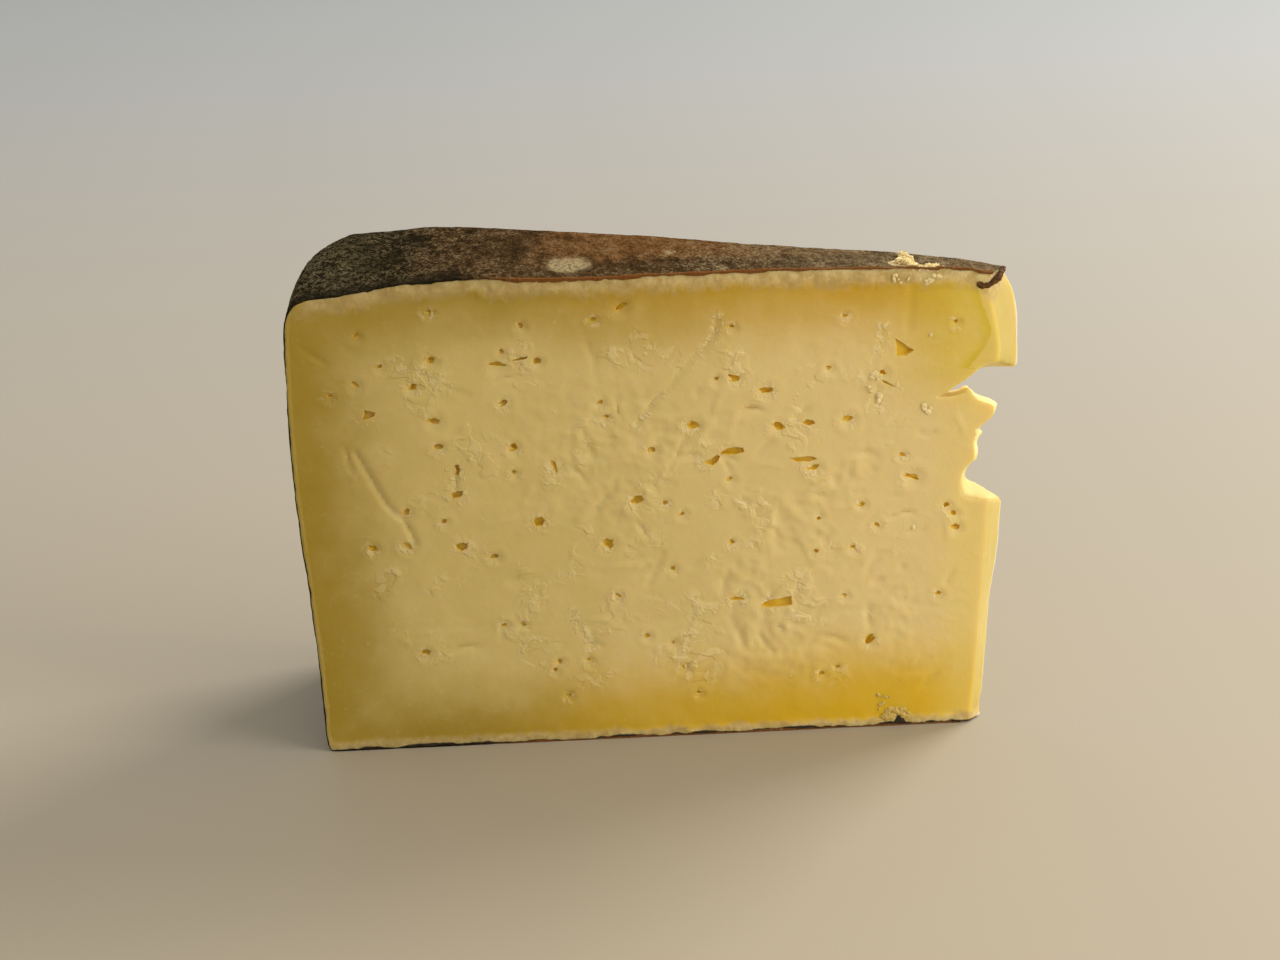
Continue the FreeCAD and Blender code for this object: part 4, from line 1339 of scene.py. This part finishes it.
class CHEESE_OT_curl(bpy.types.Operator):
    """Fold a shred of rind over the tip of the nose"""

    bl_idname = "cheese.curl"
    bl_label = "Rind curl"

    def execute(self, context):
        bm = shred_tube()
        for vert in bm.verts:
            spot = (vert.co - AXIS) / MM
            vert.co += (noise.noise_vector(spot * 1.1) * 0.16 + noise.noise_vector(spot * 3.2) * 0.13) * MM
            vert.co.y = max(vert.co.y, AXIS.y + CLEAR * MM)
        bmesh.ops.recalc_face_normals(bm, faces=bm.faces)
        new_piece("rind_curl", bm, shred_material(), 45)
        return {"FINISHED"}


class CHEESE_OT_crumbs(bpy.types.Operator):
    """Scatter crumbs on the top edge and on the front cut"""

    bl_idname = "cheese.crumbs"
    bl_label = "Crumbs"

    def execute(self, context):
        material = crumb_material()
        crumb_cloud("crumbs_top", TOP_CRUMBS, material, *TOP_SHAPE)
        crumb_cloud("crumbs_face", FACE_CRUMBS, material, *FACE_SHAPE)
        return {"FINISHED"}


# ---------------------------------------------------------------------------------------------------
# Stage
# ---------------------------------------------------------------------------------------------------

# The camera, from the wheel's axis, and how it is turned.
CAMERA_AT = (-88.0, -334.0, 169.6)
CAMERA_DOWN, CAMERA_RIGHT, CAMERA_ROLL = 20.0, 5.0, 0.42
LENS, SENSOR = 60.47, 36.0
# The lamps, in metres: place, what they point at, size, share of the key's power, and colour.
LAMPS = {
    "key": ((1.10, 0.80, 1.00), (0.0, 0.0, 0.03), 0.8, 1.0, (1.0, 0.97, 0.92)),
    "side": ((0.95, -0.50, 0.45), (0.0, 0.0, 0.04), 0.6, 0.32, (1.0, 0.96, 0.90)),
}
SKY = (1.0, 0.99, 0.965, 1.0)
# Half the width of the floor, in metres.
FLOOR_REACH = 4.0


def add_camera():
    """Stand the camera at its place and turn it down, to the right and level."""
    data = bpy.data.cameras.new("camera")
    data.lens = LENS
    data.sensor_width = SENSOR
    data.clip_start = 0.01
    camera = put_in_scene("camera", data)
    down, right, roll = (math.radians(a) for a in (CAMERA_DOWN, CAMERA_RIGHT, CAMERA_ROLL))
    forward = Vector((math.sin(right) * math.cos(down), math.cos(right) * math.cos(down), -math.sin(down)))
    side = Vector((math.cos(right), -math.sin(right), 0))
    low = forward.cross(side)
    tilted_side = side * math.cos(roll) + low * math.sin(roll)
    tilted_low = low * math.cos(roll) - side * math.sin(roll)
    turn = Matrix((tilted_side, -tilted_low, -forward)).transposed()
    camera.matrix_world = Matrix.Translation(AXIS + Vector(CAMERA_AT) * MM) @ turn.to_4x4()
    return camera


def add_lamp(name, spot, towards, size, power, colour):
    """Hang a soft square lamp and turn it to a place, both in metres."""
    data = bpy.data.lights.new(name, "AREA")
    data.shape = "SQUARE"
    data.size = size
    data.energy = power
    data.color = colour
    lamp = put_in_scene(name, data)
    lamp.location = spot
    lamp.rotation_euler = (Vector(towards) - Vector(spot)).to_track_quat("-Z", "Y").to_euler()


class CHEESE_OT_stage(bpy.types.Operator):
    """Lay the pale floor, hang the lamps and stand the camera"""

    bl_idname = "cheese.stage"
    bl_label = "Stage"

    def execute(self, context):
        look = context.scene.cheese_stage
        scene = context.scene
        bm = bmesh.new()
        bmesh.ops.create_grid(bm, x_segments=8, y_segments=8, size=FLOOR_REACH)
        floor = put_in_scene("floor", new_mesh("floor", bm, (floor_material(look),)))
        scene.camera = add_camera()
        for name, (spot, towards, size, share, colour) in LAMPS.items():
            add_lamp(name, spot, towards, size, look.key * share, colour)
        world = bpy.data.worlds.new("sky")
        world.use_nodes = True
        sky = world.node_tree.nodes["Background"]
        sky.inputs["Color"].default_value = SKY
        sky.inputs["Strength"].default_value = look.fill
        scene.world = world
        scene.view_settings.view_transform = "Standard"
        return {"FINISHED"}


# ---------------------------------------------------------------------------------------------------
# Panel and main
# ---------------------------------------------------------------------------------------------------


class CHEESE_PT_panel(bpy.types.Panel):
    """Buttons and settings of the wedge"""

    bl_label = "Cheese wedge"
    bl_space_type = "VIEW_3D"
    bl_region_type = "UI"
    bl_category = "Cheese"

    def draw(self, context):
        for name in OPERATORS:
            self.layout.operator(name)
        for group in GROUPS:
            settings = getattr(context.scene, group)
            box = self.layout.box()
            for key in settings.__annotations__:
                box.prop(settings, key)


OPERATORS = ("cheese.paste", "cheese.rind", "cheese.curl", "cheese.crumbs", "cheese.stage")
GROUPS = {"cheese_paste": CheesePaste, "cheese_rind": CheeseRind, "cheese_stage": CheeseStage}
CLASSES = (
    *GROUPS.values(), CHEESE_OT_paste, CHEESE_OT_rind, CHEESE_OT_curl, CHEESE_OT_crumbs, CHEESE_OT_stage,
    CHEESE_PT_panel,
)


def register():
    """Add the settings, the operators and the panel to Blender, and seed its noise."""
    noise.seed_set(NOISE_SEED)
    for item in CLASSES:
        bpy.utils.register_class(item)
    for name, group in GROUPS.items():
        setattr(bpy.types.Scene, name, bpy.props.PointerProperty(type=group))


def unregister():
    """Take them away again."""
    for name in GROUPS:
        delattr(bpy.types.Scene, name)
    for item in reversed(CLASSES):
        bpy.utils.unregister_class(item)


def main():
    """Build every piece and the stage."""
    register()
    bpy.ops.cheese.paste()
    bpy.ops.cheese.rind()
    bpy.ops.cheese.curl()
    bpy.ops.cheese.crumbs()
    bpy.ops.cheese.stage()


if __name__ == "__main__":
    main()
